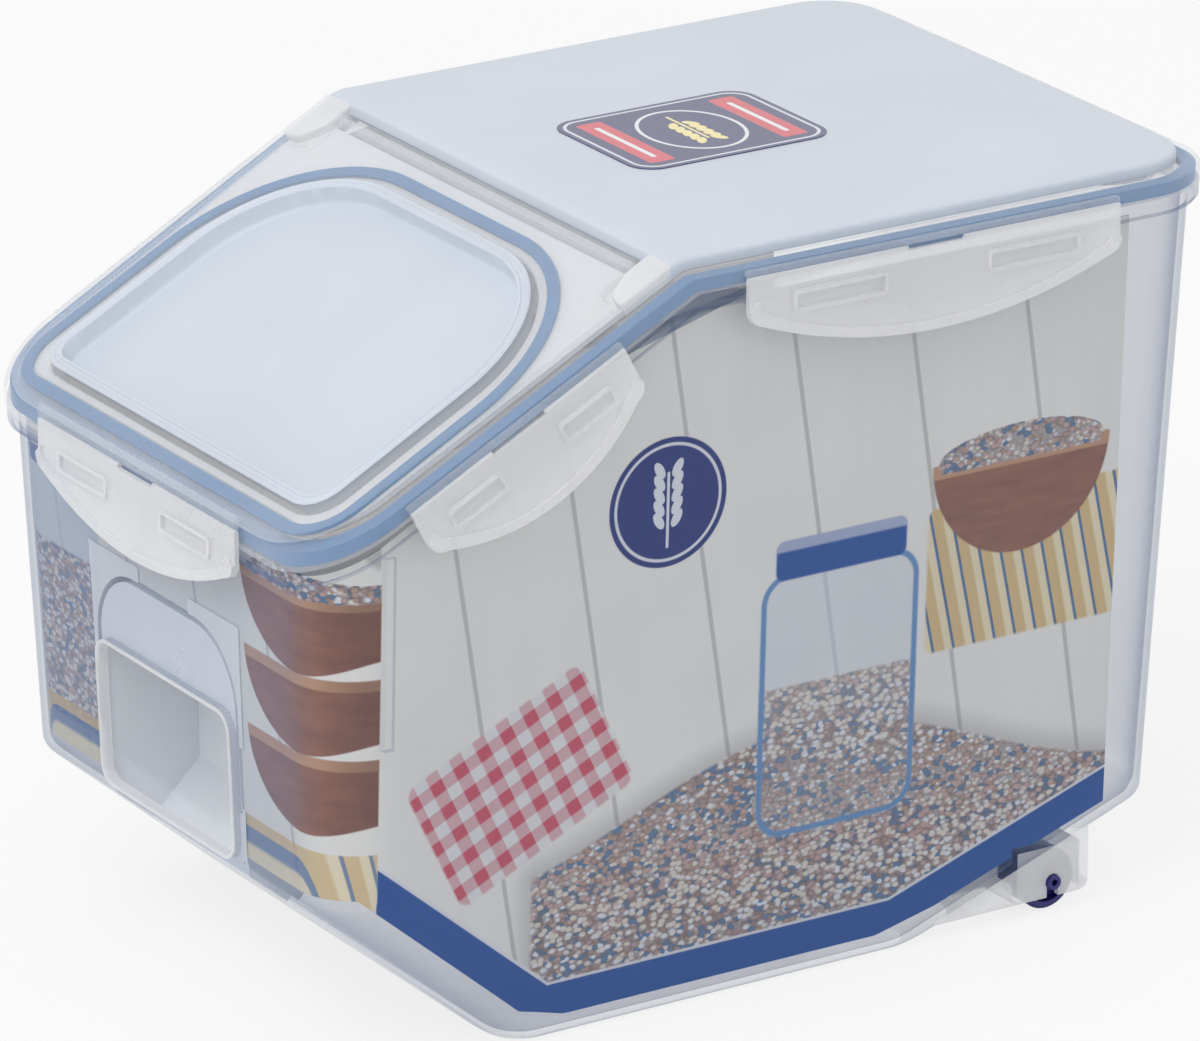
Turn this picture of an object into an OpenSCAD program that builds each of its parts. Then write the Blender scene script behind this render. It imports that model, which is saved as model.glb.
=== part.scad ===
/*
  Rice bin with flip lid: a drafted tub with a sloped front, a clip-on lid over the whole mouth,
  a flip lid over the scoop opening in its slope, six clip flaps, two wheels under the rear bevel,
  a printed sheet inside the tub and a measuring cup.
  X runs across the bin, -Y is the front with the slope, +Z is up, the floor is z = 0.
*/

/* [Lid outline] */
// Width across the lid's skirt
lid_w = 215; // [195:1:235]
// Length of the lid's skirt from front to rear
lid_l = 330; // [315:1:350]
// Corner radius of the skirt seen from above
lid_corner_r = 28; // [26:1:36]
// Height of the level rim's top above the floor
rim_h = 242; // [228:0.5:260]
// Fall of the front slope below level, in degrees
slope_angle = 27.8; // [20:0.2:30]
// Where the slope begins, from the middle of the lid
bend_y = -34.5; // [-42:0.5:-26]
// Radius of the bend between slope and level rim
bend_r = 8; // [6:1:20]

/* [Tub] */
// Wall thickness of the tub
tub_wall = 2.2; // [1.6:0.1:3]
// Distance of the tub's wall inside the skirt, at the rim
tub_inset = 3.6; // [3.4:0.1:5]
// Corner radius of the tub's front above the bevel
tub_front_corner_r = 23; // [20:1:26]
// Draft of the tub's walls, in degrees
draft = 2.25; // [1:0.25:3]
// Rounding of the edges around the base
base_edge_r = 4.5; // [3.5:0.5:6]
// Corner radius of the flat base
base_corner_r = 14; // [10:1:20]
// Height of the front bevel's upper edge
front_bevel_h = 55; // [44:1:60]
// Front end of the flat base
base_front_y = -92.5; // [-100:0.5:-85]
// Height of the rear bevel's upper edge
rear_bevel_h = 32; // [29:1:38]
// Rear end of the flat base
base_rear_y = 60; // [50:1:62]
// Height of the collar under the skirt
collar_h = 4.4; // [3:0.2:6]
// Width of the stacking ribs near the front corners
stack_rib_w = 4.2; // [3:0.2:6]
// Length of the stacking ribs
stack_rib_l = 62; // [40:1:80]
// Distance of the stacking ribs from the skirt's front
stack_rib_from_front = 27; // [24:1:40]

/* [Hand grip] */
// Clear width of the grip pocket
grip_w = 82; // [70:1:90]
// Depth of the grip pocket behind the front wall
grip_depth = 34; // [28:1:38]
// Height of the pocket's roof
grip_top = 128; // [118:1:136]
// Radius of the pocket's upper corners
grip_top_r = 22; // [16:1:30]
// Height of the window's upper edge
grip_window_top = 105.5; // [95:0.5:110]
// Radius of the window's corners
grip_window_r = 7; // [4:0.5:10]
// Thickness of the pocket's walls
grip_wall = 1.8; // [1.4:0.1:2.4]
// Height of the bar below the window, above the bevel's upper edge
grip_bar_h = 1; // [0.5:0.5:4]
// Depth of the bar below the window
grip_bar_w = 4; // [3:0.5:6]

/* [Wheels] */
// Diameter of the wheels
wheel_d = 20.4; // [18:0.2:23]
// Tread width of the wheels
wheel_w = 14; // [10:1:16]
// Place of the axles from the middle
axle_y = 109; // [106:0.5:109]
// Diameter of the axle stubs
stub_d = 4.8; // [4:0.2:6]
// Bore in the end of each stub
stub_bore = 2.2; // [1.4:0.2:2.6]
// Wall thickness of the wheel housings
housing_wall = 2; // [1.6:0.1:2.6]
// Front end of the housings
housing_front_y = 64; // [60:1:70]
// Rear end of the housings
housing_rear_y = 122.5; // [122:0.5:128]
// Gap between the floor and the housings
housing_lift = 5.5; // [4:0.5:6.5]
// Gap between the floor and the wheels when the base stands flat
wheel_lift = 0.3; // [0.2:0.1:1]

/* [Main lid] */
// Thickness of the skirt, the roof and the panel
lid_wall = 1.8; // [1.4:0.1:2.2]
// Height of the skirt
skirt_h = 6.2; // [5.6:0.2:8]
// Distance of the raised panel inside the skirt
panel_inset = 8; // [7.5:0.5:11]
// Rise of the rear panel above the rim
panel_rise = 3.1; // [2.8:0.1:5]
// Fall of the stepped shoulder around the rim
shoulder_h = 1.6; // [0.8:0.2:1.6]
// Width of the stepped shoulder
shoulder_w = 2.4; // [1.2:0.2:3]
// Depth of the inner wall that enters the tub
plug_depth = 9; // [7:0.5:12]
// Distance of the scoop opening inside the skirt's sides
scoop_side = 23.5; // [23:0.5:30]
// Distance of the scoop opening from the skirt's front, along the slope
scoop_front = 13.5; // [13:0.5:20]
// Corner radius of the scoop opening at the hinge
scoop_far_r = 50; // [30:1:54]
// Corner radius of the scoop opening at the front
scoop_near_r = 12; // [8:1:20]
// Depth of the wall around the scoop opening
throat_depth = 6; // [5.5:0.5:9]

/* [Flip lid] */
// Clear width between the hinge cheeks
cheek_gap = 172.6; // [160:1:175]
// Length of the hinge cheeks along the slope
cheek_l = 22; // [15:1:26]
// Thickness of the flip lid's plate
flip_wall = 1.6; // [1.2:0.1:2]
// Diameter of the hinge pins
pin_d = 2.8; // [2:0.2:3.2]
// Length of the hinge pins
pin_l = 7; // [4:0.5:9]
// Depth of the panel inside the flip lid's ridge
dish_depth = 6; // [4:0.5:7]
// Width of the ridge around the dish
ridge_w = 3.6; // [2.5:0.1:5]

/* [Clip flaps] */
// Thickness of the flaps
flap_wall = 1.6; // [1.2:0.1:1.8]
// Drop of the flaps below their hinges, in the middle
flap_drop = 27; // [24:1:32]
// Drop of the flaps at their ends
flap_end_drop = 13; // [10:1:16]
// Width of the two flaps on the level sides
side_flap_w = 136; // [110:1:140]
// Width of the two flaps on the slope's sides
slope_flap_w = 83; // [70:1:90]
// Width of the front and rear flaps
end_flap_w = 120; // [100:1:124]
// Distance of the level side flaps' middle from the skirt's rear
side_flap_from_rear = 113.5; // [109:0.5:117]
// Distance of the slope flaps' middle from the slope's middle, towards the bend
slope_flap_shift = 1.3; // [-4:0.1:6]
// Height of the raised windows in the flaps
window_h = 7; // [5:0.5:9]
// Rise of the windows and of the lower lip
window_rise = 1.1; // [0.6:0.1:1.6]

/* [Seals] */
// Height of the seals' web
seal_h = 2; // [1.6:0.1:2.2]
// Width of the flip lid's seal
flip_seal_w = 4; // [3:0.5:5]

/* [Sheet, label and cup] */
// Thickness of the printed sheet
sheet_t = 0.6; // [0.4:0.1:1]
// Rear end of the printed sheet
sheet_rear_y = 129; // [110:1:131]
// Width of the label on the panel
label_w = 56; // [40:1:70]
// Length of the label
label_l = 72; // [50:1:80]
// Distance of the label's middle from the skirt's rear
label_from_rear = 129; // [120:1:136]
// Diameter of the measuring cup
cup_d = 66; // [50:1:80]
// Height of the measuring cup
cup_h = 62; // [40:1:75]
// Wall thickness of the cup
cup_wall = 1.6; // [1.2:0.1:2.4]

/* [Clearances] */
// Running gap between parts that move
gap = 0.3; // [0.2:0.05:0.4]
// Gap between parts that rest on each other
seat_gap = 0.15; // [0.1:0.05:0.3]

/* [Hidden] */
$fn = 48;
facets = 32;
sides = [-1, 1];
far = 400;
fuse = 0.4;

clear_pp = [0.86, 0.91, 0.95, 0.55];
milk_pp = [0.93, 0.93, 0.92, 0.8];
frost_pp = [0.84, 0.87, 0.92, 0.8];
seal_blue = [0.30, 0.46, 0.72];
navy = [0.13, 0.12, 0.42];
paper = [0.82, 0.81, 0.80];

tub_corner_r = lid_corner_r - tub_inset;
slope_front_s = (bend_y + lid_l / 2) / cos(slope_angle);
// Plates that join the rim stand this far inside its faces
face_step = 0.1;
// Corner arcs stay this far inside the tangents of the tapered outlines
arc_slack = 0.02;
taper = atan(tan(slope_angle) * tan(draft));
slope_taper = atan(tan(taper) * cos(slope_angle));
front_corner_y = -lid_l / 2 + lid_corner_r;
front_corner_x = lid_w / 2 - (bend_y - front_corner_y) * tan(taper) - lid_corner_r / cos(taper);
front_rim_h = rim_h - (bend_y + lid_l / 2) * tan(slope_angle);
arc_steps = 5;
// The rim line in the YZ plane, raised by n square to itself
function bend_point(n) = [bend_y - n * tan(slope_angle / 2), rim_h + n];
function slope_z(y, n) = rim_h + (y - bend_y) * tan(slope_angle) + n / cos(slope_angle);
function bend_arc(n) = bend_r + n > 1
    ? [for (i = [0:arc_steps]) let (t = 90 + slope_angle * (1 - i / arc_steps))
        bend_point(-bend_r) + (bend_r + n) * [cos(t), sin(t)]]
    : [bend_point(n)];
function rim_line(n) = concat([[-far, slope_z(-far, n)]], bend_arc(n), [[far, rim_h + n]]);
function back(points) = [for (i = [len(points) - 1:-1:0]) points[i]];

// Tub walls
function tub_half_w(z) = lid_w / 2 - tub_inset - (rim_h - z) * tan(draft);
function tub_front(z) = -lid_l / 2 + tub_inset + (front_rim_h - z) * tan(draft);
function tub_rear(z) = lid_l / 2 - tub_inset - (rim_h - z) * tan(draft);
front_bevel = atan(front_bevel_h / (base_front_y - tub_front(front_bevel_h)));
rear_bevel = atan(rear_bevel_h / (tub_rear(rear_bevel_h) - base_rear_y));
lip_n = -lid_wall - seal_h - seat_gap * 2;
collar_top_n = -skirt_h - gap;
collar_out = 0.8;
tub_top = rim_h + 12;

// Channel of the main lid
channel_in = panel_inset - 1;
seal_out = lid_wall + seat_gap;
front_rim_corner_r = tub_front_corner_r
    + (tub_corner_r - tub_front_corner_r) * (front_rim_h - front_bevel_h) / (tub_top - front_bevel_h);
corner_slack = (tub_corner_r - front_rim_corner_r) * (sqrt(2) - 1);
seal_leg = tub_inset - seal_out - corner_slack - seat_gap * 2;

// Flip lid, in the slope's own frame: y falls towards the front, z is square to the slope
flip_side = lid_w / 2 - panel_inset - 1;
flip_top = panel_rise - 0.2;
hinge_r = 2.5;
hinge_n = flip_top - hinge_r;
bend_s = bend_r * tan(slope_angle / 2);
nose_l = lid_wall + 0.2;
nose_s = bend_s + nose_l;
hinge_s = nose_s + gap * 2.5 + hinge_r;
groove_n = hinge_n - hinge_r - gap;
flip_corner_r = 26;
flip_corner_s = slope_front_s - flip_corner_r;
flip_corner_x = flip_side - flip_corner_s * tan(slope_taper) - flip_corner_r / cos(slope_taper);
flip_front_side = flip_side - slope_front_s * tan(slope_taper);
flip_low = seat_gap;
scoop_w = lid_w - 2 * scoop_side;
scoop_far_s = 22;
scoop_near_s = slope_front_s - scoop_front;
dish_gap = 1.6;
flip_seal_side = flip_front_side - flip_wall - seat_gap;
flip_seal_far_s = 15;
flip_seal_near_s = slope_front_s - flip_wall - 4;
flip_seal_far_r = 60;
flip_seal_near_r = 18;

// Clip flaps: hinge bead below a proud base on the skirt
side_flap_y = lid_l / 2 - side_flap_from_rear;
slope_flap_s = slope_front_s / 2 - slope_flap_shift;
base_out = 1.5;
base_lean = 27;
base_fall = shoulder_h + 0.4;
bead_r = flap_wall / 2;
axis_out = base_out - 0.5;
axis_n = -3.7 - bead_r - seat_gap;
front_axis_z = front_rim_h - 1.9;
notch_w = 20;
notch_h = 1.6;
catch_n = -8;
catch_h = 2;
window_edge = 2;

// Wheels and housings
axle_z = wheel_d / 2 + wheel_lift;
housing_side = tub_half_w(axle_z) - 0.2;
wheel_out_x = housing_side - housing_wall - 0.8;
housing_in = wheel_out_x - wheel_w - 0.8 - housing_wall;
housing_bay_w = housing_side - housing_in - 2 * housing_wall;
housing_corner = 3;
bay_skin = 0.3;
housing_rise = base_edge_r + 3;
well_top = axle_z + wheel_d / 2 + 1;
wedge_front_y = base_rear_y + (housing_lift + bay_skin + 1) / tan(rear_bevel);
function rear_bevel_z(y) = (y - base_rear_y) * tan(rear_bevel);
function housing_middle(sx) = sx * (housing_side + housing_in) / 2;
bay_front_y = axle_y - wheel_d / 2 - 2;
bay_rear_y = housing_rear_y - housing_wall;
neck_w = stub_d - 0.4;

grip_front = tub_front(front_bevel_h);
grip_back = grip_front + grip_depth;
grip_knee_h = front_bevel_h + 2;

sheet_inset = tub_wall + 0.5;
sheet_top_n = -12;
sheet_low = base_edge_r + 1.5;
sheet_front_low = front_bevel_h + 4;
sheet_base_front_y = base_front_y + 10;
sheet_base_rear_y = base_rear_y - 10;
label_x = -3.5;
label_y = lid_l / 2 - label_from_rear;
cup_y = -10;
cup_clear = 0.3;

// ---------- shared shapes ----------

// Rounded rectangle from squares and circles, so that its corners stay true arcs
module round_rect(w, l, r) {
    square([w - 2 * r, l], center = true);
    square([w, l - 2 * r], center = true);
    for (sx = sides, sy = sides)
        translate([sx * (w / 2 - r), sy * (l / 2 - r)]) circle(r);
}

// Outline of the lid moved inwards; it narrows towards the front as the drafted tub does
module lid_outline(inset) {
    r = lid_corner_r - inset;
    side = lid_w / 2 - inset;
    end = lid_l / 2 - inset;
    rear_corner_x = lid_w / 2 - lid_corner_r;
    right = [
        [rear_corner_x, end],
        [side, -front_corner_y],
        [side, bend_y + inset * tan(taper / 2)],
        [front_corner_x + r * cos(taper), front_corner_y - r * sin(taper)],
        [front_corner_x, -end]
    ];
    polygon(concat(right, [for (point = back(right)) [-point[0], point[1]]]));
    for (sx = sides) {
        translate([sx * rear_corner_x, -front_corner_y]) circle(r - arc_slack);
        translate([sx * front_corner_x, front_corner_y]) circle(r - arc_slack);
    }
}

// Everything between two heights above the rim line
module between(lo, hi)
    rotate([90, 0, 90])
        linear_extrude(2 * far, center = true)
            polygon(concat(rim_line(lo), back(rim_line(hi))));

// Everything below the rim line
module below(n)
    rotate([90, 0, 90])
        linear_extrude(2 * far, center = true)
            polygon(concat([[-far, -far], [-far, slope_z(-far, n)]], bend_arc(n),
                [[far, rim_h + n], [far, -far]]));

// A band that runs round the lid between two insets and two heights
module rim_band(out, in, lo, hi)
    intersection() {
        translate([0, 0, front_rim_h - 60])
            linear_extrude(rim_h - front_rim_h + 80)
                difference() {
                    lid_outline(out);
                    lid_outline(in);
                }
        between(lo, hi);
    }

module on_slope() translate([0, bend_y, rim_h]) rotate([slope_angle, 0, 0]) children();

// D shape of the scoop opening and its seal, in the slope's frame
module d_shape(half_w, far_s, near_s, far_r, near_r) {
    translate([-half_w, -near_s + near_r]) square([2 * half_w, near_s - near_r - far_s - far_r]);
    translate([-half_w + far_r, -far_s - far_r - fuse]) square([2 * (half_w - far_r), far_r + fuse]);
    translate([-half_w + near_r, -near_s]) square([2 * (half_w - near_r), near_r + fuse]);
    for (sx = sides) {
        translate([sx * (half_w - far_r), -far_s - far_r]) circle(far_r);
        translate([sx * (half_w - near_r), -near_s + near_r]) circle(near_r);
    }
}

module scoop_shape(shrink)
    d_shape(scoop_w / 2 - shrink, scoop_far_s + shrink, scoop_near_s - shrink,
        scoop_far_r - shrink, scoop_near_r - shrink);

module slab(lo, hi) translate([0, 0, lo]) linear_extrude(hi - lo) children();

// ---------- tub ----------

module puck(r, edge)
    rotate_extrude($fn = facets)
        intersection() {
            union() {
                translate([0, edge]) square([r, 0.1]);
                square([r - edge, edge]);
                translate([r - edge, edge]) circle(edge, $fn = 20);
            }
            square([r, edge + 0.1]);
        }

// The tub's outer form, or its inner form when t is the wall thickness
module tub_form(t)
    hull() {
        for (sx = sides) {
            translate([sx * (tub_half_w(0) - base_corner_r),
                    base_front_y + base_edge_r * tan(front_bevel / 2) + base_corner_r - base_edge_r, t])
                puck(base_corner_r - t, base_edge_r - t);
            translate([sx * (tub_half_w(0) - base_corner_r),
                    base_rear_y - base_edge_r * tan(rear_bevel / 2) - base_corner_r + base_edge_r, t])
                puck(base_corner_r - t, base_edge_r - t);
            translate([sx * (tub_half_w(front_bevel_h) - tub_front_corner_r),
                    tub_front(front_bevel_h) + tub_front_corner_r,
                    front_bevel_h + base_edge_r * (tan(45 - front_bevel / 2) - 1) + t])
                puck(tub_front_corner_r - t, base_edge_r - t);
            translate([sx * (tub_half_w(rear_bevel_h) - tub_corner_r),
                    tub_rear(rear_bevel_h) - tub_corner_r,
                    rear_bevel_h + base_edge_r * (tan(45 - rear_bevel / 2) - 1) + t])
                puck(tub_corner_r - t, base_edge_r - t);
            translate([sx * (tub_half_w(tub_top) - tub_corner_r), tub_front(tub_top) + tub_corner_r, tub_top])
                cylinder(r = tub_corner_r - t, h = 1, $fn = facets);
            translate([sx * (tub_half_w(tub_top) - tub_corner_r), tub_rear(tub_top) - tub_corner_r, tub_top])
                cylinder(r = tub_corner_r - t, h = 1, $fn = facets);
        }
    }

// Front view of the pocket, with rounded upper corners
module grip_outline(grow) {
    shoulder = grip_top - grip_top_r;
    translate([-grip_w / 2 - grow, -10]) square([grip_w + 2 * grow, shoulder + 10]);
    translate([-grip_w / 2 + grip_top_r, -10]) square([grip_w - 2 * grip_top_r, grip_top + 10 + grow]);
    for (sx = sides)
        translate([sx * (grip_w / 2 - grip_top_r), shoulder]) circle(grip_top_r + grow);
}

// Side view of the pocket: from the wall's inside to its back, down to the front bevel
module grip_side(grow, bottom)
    rotate([90, 0, 90])
        linear_extrude(grip_w + 20, center = true)
            polygon([
                [grip_front + grip_bar_w - grow, bottom],
                [grip_front + grip_bar_w - grow, front_bevel_h + grip_bar_h],
                [grip_front + tub_wall - grow, front_bevel_h + grip_bar_h],
                [tub_front(grip_top + 20) + tub_wall - grow, grip_top + 20],
                [grip_back + grow, grip_top + 20],
                [grip_back + grow, grip_knee_h - grow * tan(22.5)],
                [grip_back + grow - grip_knee_h + bottom, bottom - grow * tan(22.5)]
            ]);

module grip_solid(grow, bottom)
    intersection() {
        translate([0, -lid_l / 2 + 60, 0])
            rotate([90, 0, 0])
                linear_extrude(60) grip_outline(grow);
        grip_side(grow, bottom);
    }

// Half space under the front bevel's outer face
module under_front_bevel()
    rotate([90, 0, 90])
        linear_extrude(grip_w + 30, center = true)
            polygon([
                [base_front_y, 0],
                [tub_front(front_bevel_h), front_bevel_h],
                [tub_front(front_bevel_h) - 20, front_bevel_h],
                [tub_front(front_bevel_h) - 20, -20],
                [base_front_y, -20]
            ]);

module grip_window()
    translate([0, -lid_l / 2 + 12, 0])
        rotate([90, 0, 0])
            linear_extrude(30)
                translate([0, (front_bevel_h + grip_bar_h + grip_window_top) / 2])
                    round_rect(grip_w, grip_window_top - front_bevel_h - grip_bar_h, grip_window_r);

module across_housing(sx, w)
    translate([housing_middle(sx), 0, 0])
        rotate([90, 0, 90])
            linear_extrude(w, center = true) children();

// Block of a wheel housing below the rear bevel
module housing(sx)
    across_housing(sx, housing_side - housing_in)
        polygon([
            [housing_front_y, housing_lift],
            [housing_rear_y - housing_corner, housing_lift],
            [housing_rear_y, housing_lift + housing_corner],
            [housing_rear_y, rear_bevel_z(housing_rear_y) + housing_rise],
            [housing_front_y, rear_bevel_z(housing_front_y) + housing_rise]
        ]);

// Block of the well that lets the wheel into the tub's rear bevel
module wheel_well(sx)
    across_housing(sx, housing_side - housing_in)
        translate([bay_front_y - housing_wall, rear_bevel_z(bay_front_y - housing_wall) + tub_wall / 2])
            square([bay_rear_y - bay_front_y + 2 * housing_wall,
                well_top + housing_wall - rear_bevel_z(bay_front_y - housing_wall) - tub_wall / 2]);

// The hollow bays of a housing, the axle's holes and the slots that they are clipped in by
module housing_hollow(sx) {
    across_housing(sx, housing_bay_w)
        polygon([
            [wedge_front_y, -1],
            [bay_front_y - housing_wall, -1],
            [bay_front_y - housing_wall, rear_bevel_z(bay_front_y - housing_wall) - bay_skin],
            [wedge_front_y, rear_bevel_z(wedge_front_y) - bay_skin]
        ]);
    across_housing(sx, housing_bay_w)
        translate([bay_front_y, -1]) square([bay_rear_y - bay_front_y, well_top + 1]);
    across_housing(sx, housing_side - housing_in + 2)
        translate([axle_y, axle_z]) circle(d = stub_d + 2 * gap);
    across_housing(sx, housing_side - housing_in + 2)
        translate([axle_y - neck_w / 2, 0]) square([neck_w, axle_z]);
}

// A pair of catches behind one flap, drawn in the flap's own frame
module catches(w, wall_x)
    for (side = sides)
        translate([wall_x, side * w * 0.26 - w * 0.1, catch_n - catch_h])
            cube([axis_out - bead_r - gap - wall_x, w * 0.2, catch_h]);

module body() color(clear_pp) {
    difference() {
        union() {
            intersection() {
                tub_form(0);
                below(lip_n);
            }
            rim_band(collar_out, tub_inset + 1, collar_top_n - collar_h, collar_top_n);
            rim_band(collar_out + 1.2, tub_inset + 1, collar_top_n - collar_h - 1.4,
                collar_top_n - collar_h + fuse);
            for (sx = sides) {
                housing(sx);
                translate([sx * (tub_half_w(front_rim_h - 33) + 0.6), -lid_l / 2 + stack_rib_from_front,
                        front_rim_h - 2 - stack_rib_l / 2])
                    rotate([0, sx * draft, 0])
                        cube([3, stack_rib_w, stack_rib_l], center = true);
            }
            all_flap_places() catches($flap_w, -6);
        }
        tub_form(tub_wall);
        grip_solid(0, -5);
        grip_window();
        for (sx = sides) housing_hollow(sx);
    }
    for (sx = sides)
        difference() {
            wheel_well(sx);
            housing_hollow(sx);
        }
    difference() {
        grip_solid(grip_wall, 0);
        grip_solid(0, -5);
        under_front_bevel();
        grip_window();
    }
}

// ---------- clip flaps ----------

// Frames of the flaps: x points out of the bin, y runs along the hinge, z = 0 is the hinge axis
module side_place(sx)
    translate([sx * (lid_w / 2), side_flap_y, rim_h + axis_n])
        rotate([0, 0, sx > 0 ? 0 : 180]) children();

module slope_place(sx)
    translate([sx * (lid_w / 2), bend_y, rim_h])
        rotate([0, 0, -sx * taper])
            rotate([slope_angle, 0, 0])
                translate([0, -slope_flap_s, axis_n])
                    rotate([0, 0, sx > 0 ? 0 : 180]) children();

module front_place() translate([0, -lid_l / 2, front_axis_z]) rotate([0, 0, -90]) children();

module rear_place() translate([0, lid_l / 2, rim_h + axis_n]) rotate([0, 0, 90]) children();

module all_flap_places() {
    for (sx = sides) {
        side_place(sx) { $flap_w = side_flap_w; children(); }
        slope_place(sx) { $flap_w = slope_flap_w; children(); }
    }
    front_place() { $flap_w = end_flap_w; children(); }
    rear_place() { $flap_w = end_flap_w; children(); }
}

// Outline of a flap in its own plane: y along the hinge, z down
module flap_outline(w) {
    sag = flap_drop - flap_end_drop;
    r = (w * w / 4 + sag * sag) / (2 * sag);
    intersection() {
        translate([0, -flap_drop / 2]) square([w, flap_drop], center = true);
        translate([0, r - flap_drop]) circle(r, $fn = 180);
        union() {
            translate([0, -flap_drop / 2 + 6]) square([w, flap_drop], center = true);
            translate([0, -flap_drop / 2]) square([w - 12, flap_drop + 12], center = true);
        }
    }
}

module upright(x0, x1) translate([x0, 0, 0]) rotate([90, 0, 90]) linear_extrude(x1 - x0) children();

module flap(w) color(milk_pp)
    translate([axis_out, 0, 0]) {
        difference() {
            union() {
                rotate([90, 0, 0]) cylinder(r = bead_r, h = w, center = true);
                upright(-bead_r, bead_r) flap_outline(w);
                upright(0, bead_r + window_rise)
                    difference() {
                        flap_outline(w);
                        translate([0, 3]) flap_outline(w + 6);
                    }
                for (side = sides)
                    translate([0, side * w * 0.26, catch_n - catch_h / 2])
                        upright(0, bead_r + window_rise) square([w * 0.25, window_h], center = true);
            }
            translate([-2, -notch_w / 2, -notch_h + bead_r]) cube([4, notch_w, notch_h + 1]);
            for (side = sides)
                translate([0, side * w * 0.26, catch_n - catch_h / 2])
                    upright(-bead_r - 1, bead_r + window_rise - 0.8)
                        square([w * 0.25 - window_edge, window_h - window_edge], center = true);
        }
    }

// The proud base above a flap, on the skirt; its underside leans out of the way of the raised flap
module flap_base(w, top, back_x = -lid_wall / 2, out = base_out) {
    foot = bead_r + seat_gap;
    corner_x = axis_out - 0.1;
    rotate([90, 0, 0])
        linear_extrude(w, center = true)
            polygon([
                [back_x, foot],
                [corner_x, foot],
                [out, foot + (out - corner_x) * tan(base_lean)],
                [out, top],
                [back_x, top]
            ]);
}

// ---------- main lid ----------

module panel_footprint(inset)
    intersection() {
        lid_outline(panel_inset + inset);
        translate([-far, bend_y - 60]) square([2 * far, far]);
    }

// Side view of the raised panel with its chamfered nose over the bend
module panel_side(inset)
    rotate([90, 0, 90])
        linear_extrude(2 * far, center = true)
            polygon(concat(
                [nose_point(nose_s - inset, -lid_wall - inset), nose_point(nose_s - inset, hinge_n),
                    nose_point(bend_s + 0.1, panel_rise - inset)],
                bend_arc(panel_rise - inset),
                [[far, rim_h + panel_rise - inset], [far, rim_h - lid_wall - inset]],
                back(bend_arc(-lid_wall - inset))));

function nose_point(s, n) = [bend_y, rim_h] + s * [-cos(slope_angle), -sin(slope_angle)]
    + n * [-sin(slope_angle), cos(slope_angle)];

module raised_panel()
    difference() {
        intersection() {
            translate([0, 0, rim_h - 40]) linear_extrude(80) panel_footprint(0);
            panel_side(0);
        }
        intersection() {
            translate([0, 0, rim_h - 40]) linear_extrude(80) panel_footprint(lid_wall);
            panel_side(lid_wall);
        }
    }

module slope_frame()
    difference() {
        union() {
            intersection() {
                translate([0, 0, front_rim_h - 30])
                    linear_extrude(rim_h - front_rim_h + 60) lid_outline(channel_in + 0.5);
                on_slope() {
                    slab(-lid_wall + face_step, -face_step)
                        translate([-far, -slope_front_s]) square([2 * far, slope_front_s - nose_s + fuse]);
                    slab(groove_n - lid_wall, -lid_wall / 2)
                        translate([-far, -hinge_s - hinge_r - 3]) square([2 * far, hinge_r + 3 + hinge_s - nose_s + 1]);
                }
            }
            on_slope() slab(-throat_depth, 0) scoop_shape(-lid_wall);
            intersection() {
                translate([0, 0, front_rim_h - 30])
                    linear_extrude(rim_h - front_rim_h + 60) lid_outline(panel_inset);
                on_slope()
                    for (sx = sides)
                        translate([sx > 0 ? cheek_gap / 2 : -far, -cheek_l, -lid_wall])
                            cube([far - cheek_gap / 2, cheek_l - nose_s + fuse, panel_rise + lid_wall]);
            }
        }
        on_slope() {
            slab(-throat_depth - 1, 1) scoop_shape(0);
            translate([-cheek_gap / 2, -hinge_s - hinge_r - gap, groove_n])
                cube([cheek_gap, hinge_r + gap + hinge_s - nose_s, 10]);
            translate([0, -hinge_s, hinge_n])
                rotate([0, 90, 0]) cylinder(d = pin_d + 2 * gap, h = cheek_gap + 2 * pin_l + 1, center = true);
        }
    }

module main_lid() color(frost_pp) {
    rim_band(0, lid_wall, -skirt_h, -shoulder_h);
    rim_band(shoulder_w / 2, panel_inset + lid_wall, -lid_wall, -shoulder_h / 2);
    rim_band(shoulder_w, panel_inset + lid_wall, -lid_wall, 0);
    difference() {
        rim_band(channel_in, channel_in + lid_wall, -plug_depth, 0);
        on_slope()
            translate([-cheek_gap / 2, -hinge_s - hinge_r - gap, groove_n])
                cube([cheek_gap, hinge_r + gap + hinge_s - nose_s, 10]);
    }
    raised_panel();
    slope_frame();
    for (sx = sides) {
        side_place(sx) flap_base(side_flap_w, -axis_n - base_fall);
        slope_place(sx) flap_base(slope_flap_w, -axis_n - base_fall);
    }
    rear_place() flap_base(end_flap_w, -axis_n - base_fall);
}

module main_gasket() color(seal_blue) {
    rim_band(seal_out, channel_in - seat_gap, -lid_wall - seat_gap - seal_h, -lid_wall - seat_gap);
    rim_band(seal_out, seal_out + seal_leg, -skirt_h + 0.2, -lid_wall - seat_gap);
}

// ---------- flip lid ----------

module flip_outline(inset) {
    r = flip_corner_r - inset;
    right = [
        [flip_side - inset - hinge_s * tan(slope_taper), -hinge_s],
        [flip_corner_x + r * cos(slope_taper), -flip_corner_s - r * sin(slope_taper)],
        [flip_corner_x, -slope_front_s + inset]
    ];
    difference() {
        union() {
            polygon(concat(right, [for (point = back(right)) [-point[0], point[1]]]));
            for (sx = sides)
                translate([sx * flip_corner_x, -flip_corner_s]) circle(r - arc_slack);
        }
        for (sx = sides)
            translate([sx > 0 ? cheek_gap / 2 - gap - inset : -far, -cheek_l - 0.5 - inset])
                square([far - cheek_gap / 2 + gap + inset, far]);
    }
}

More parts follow.
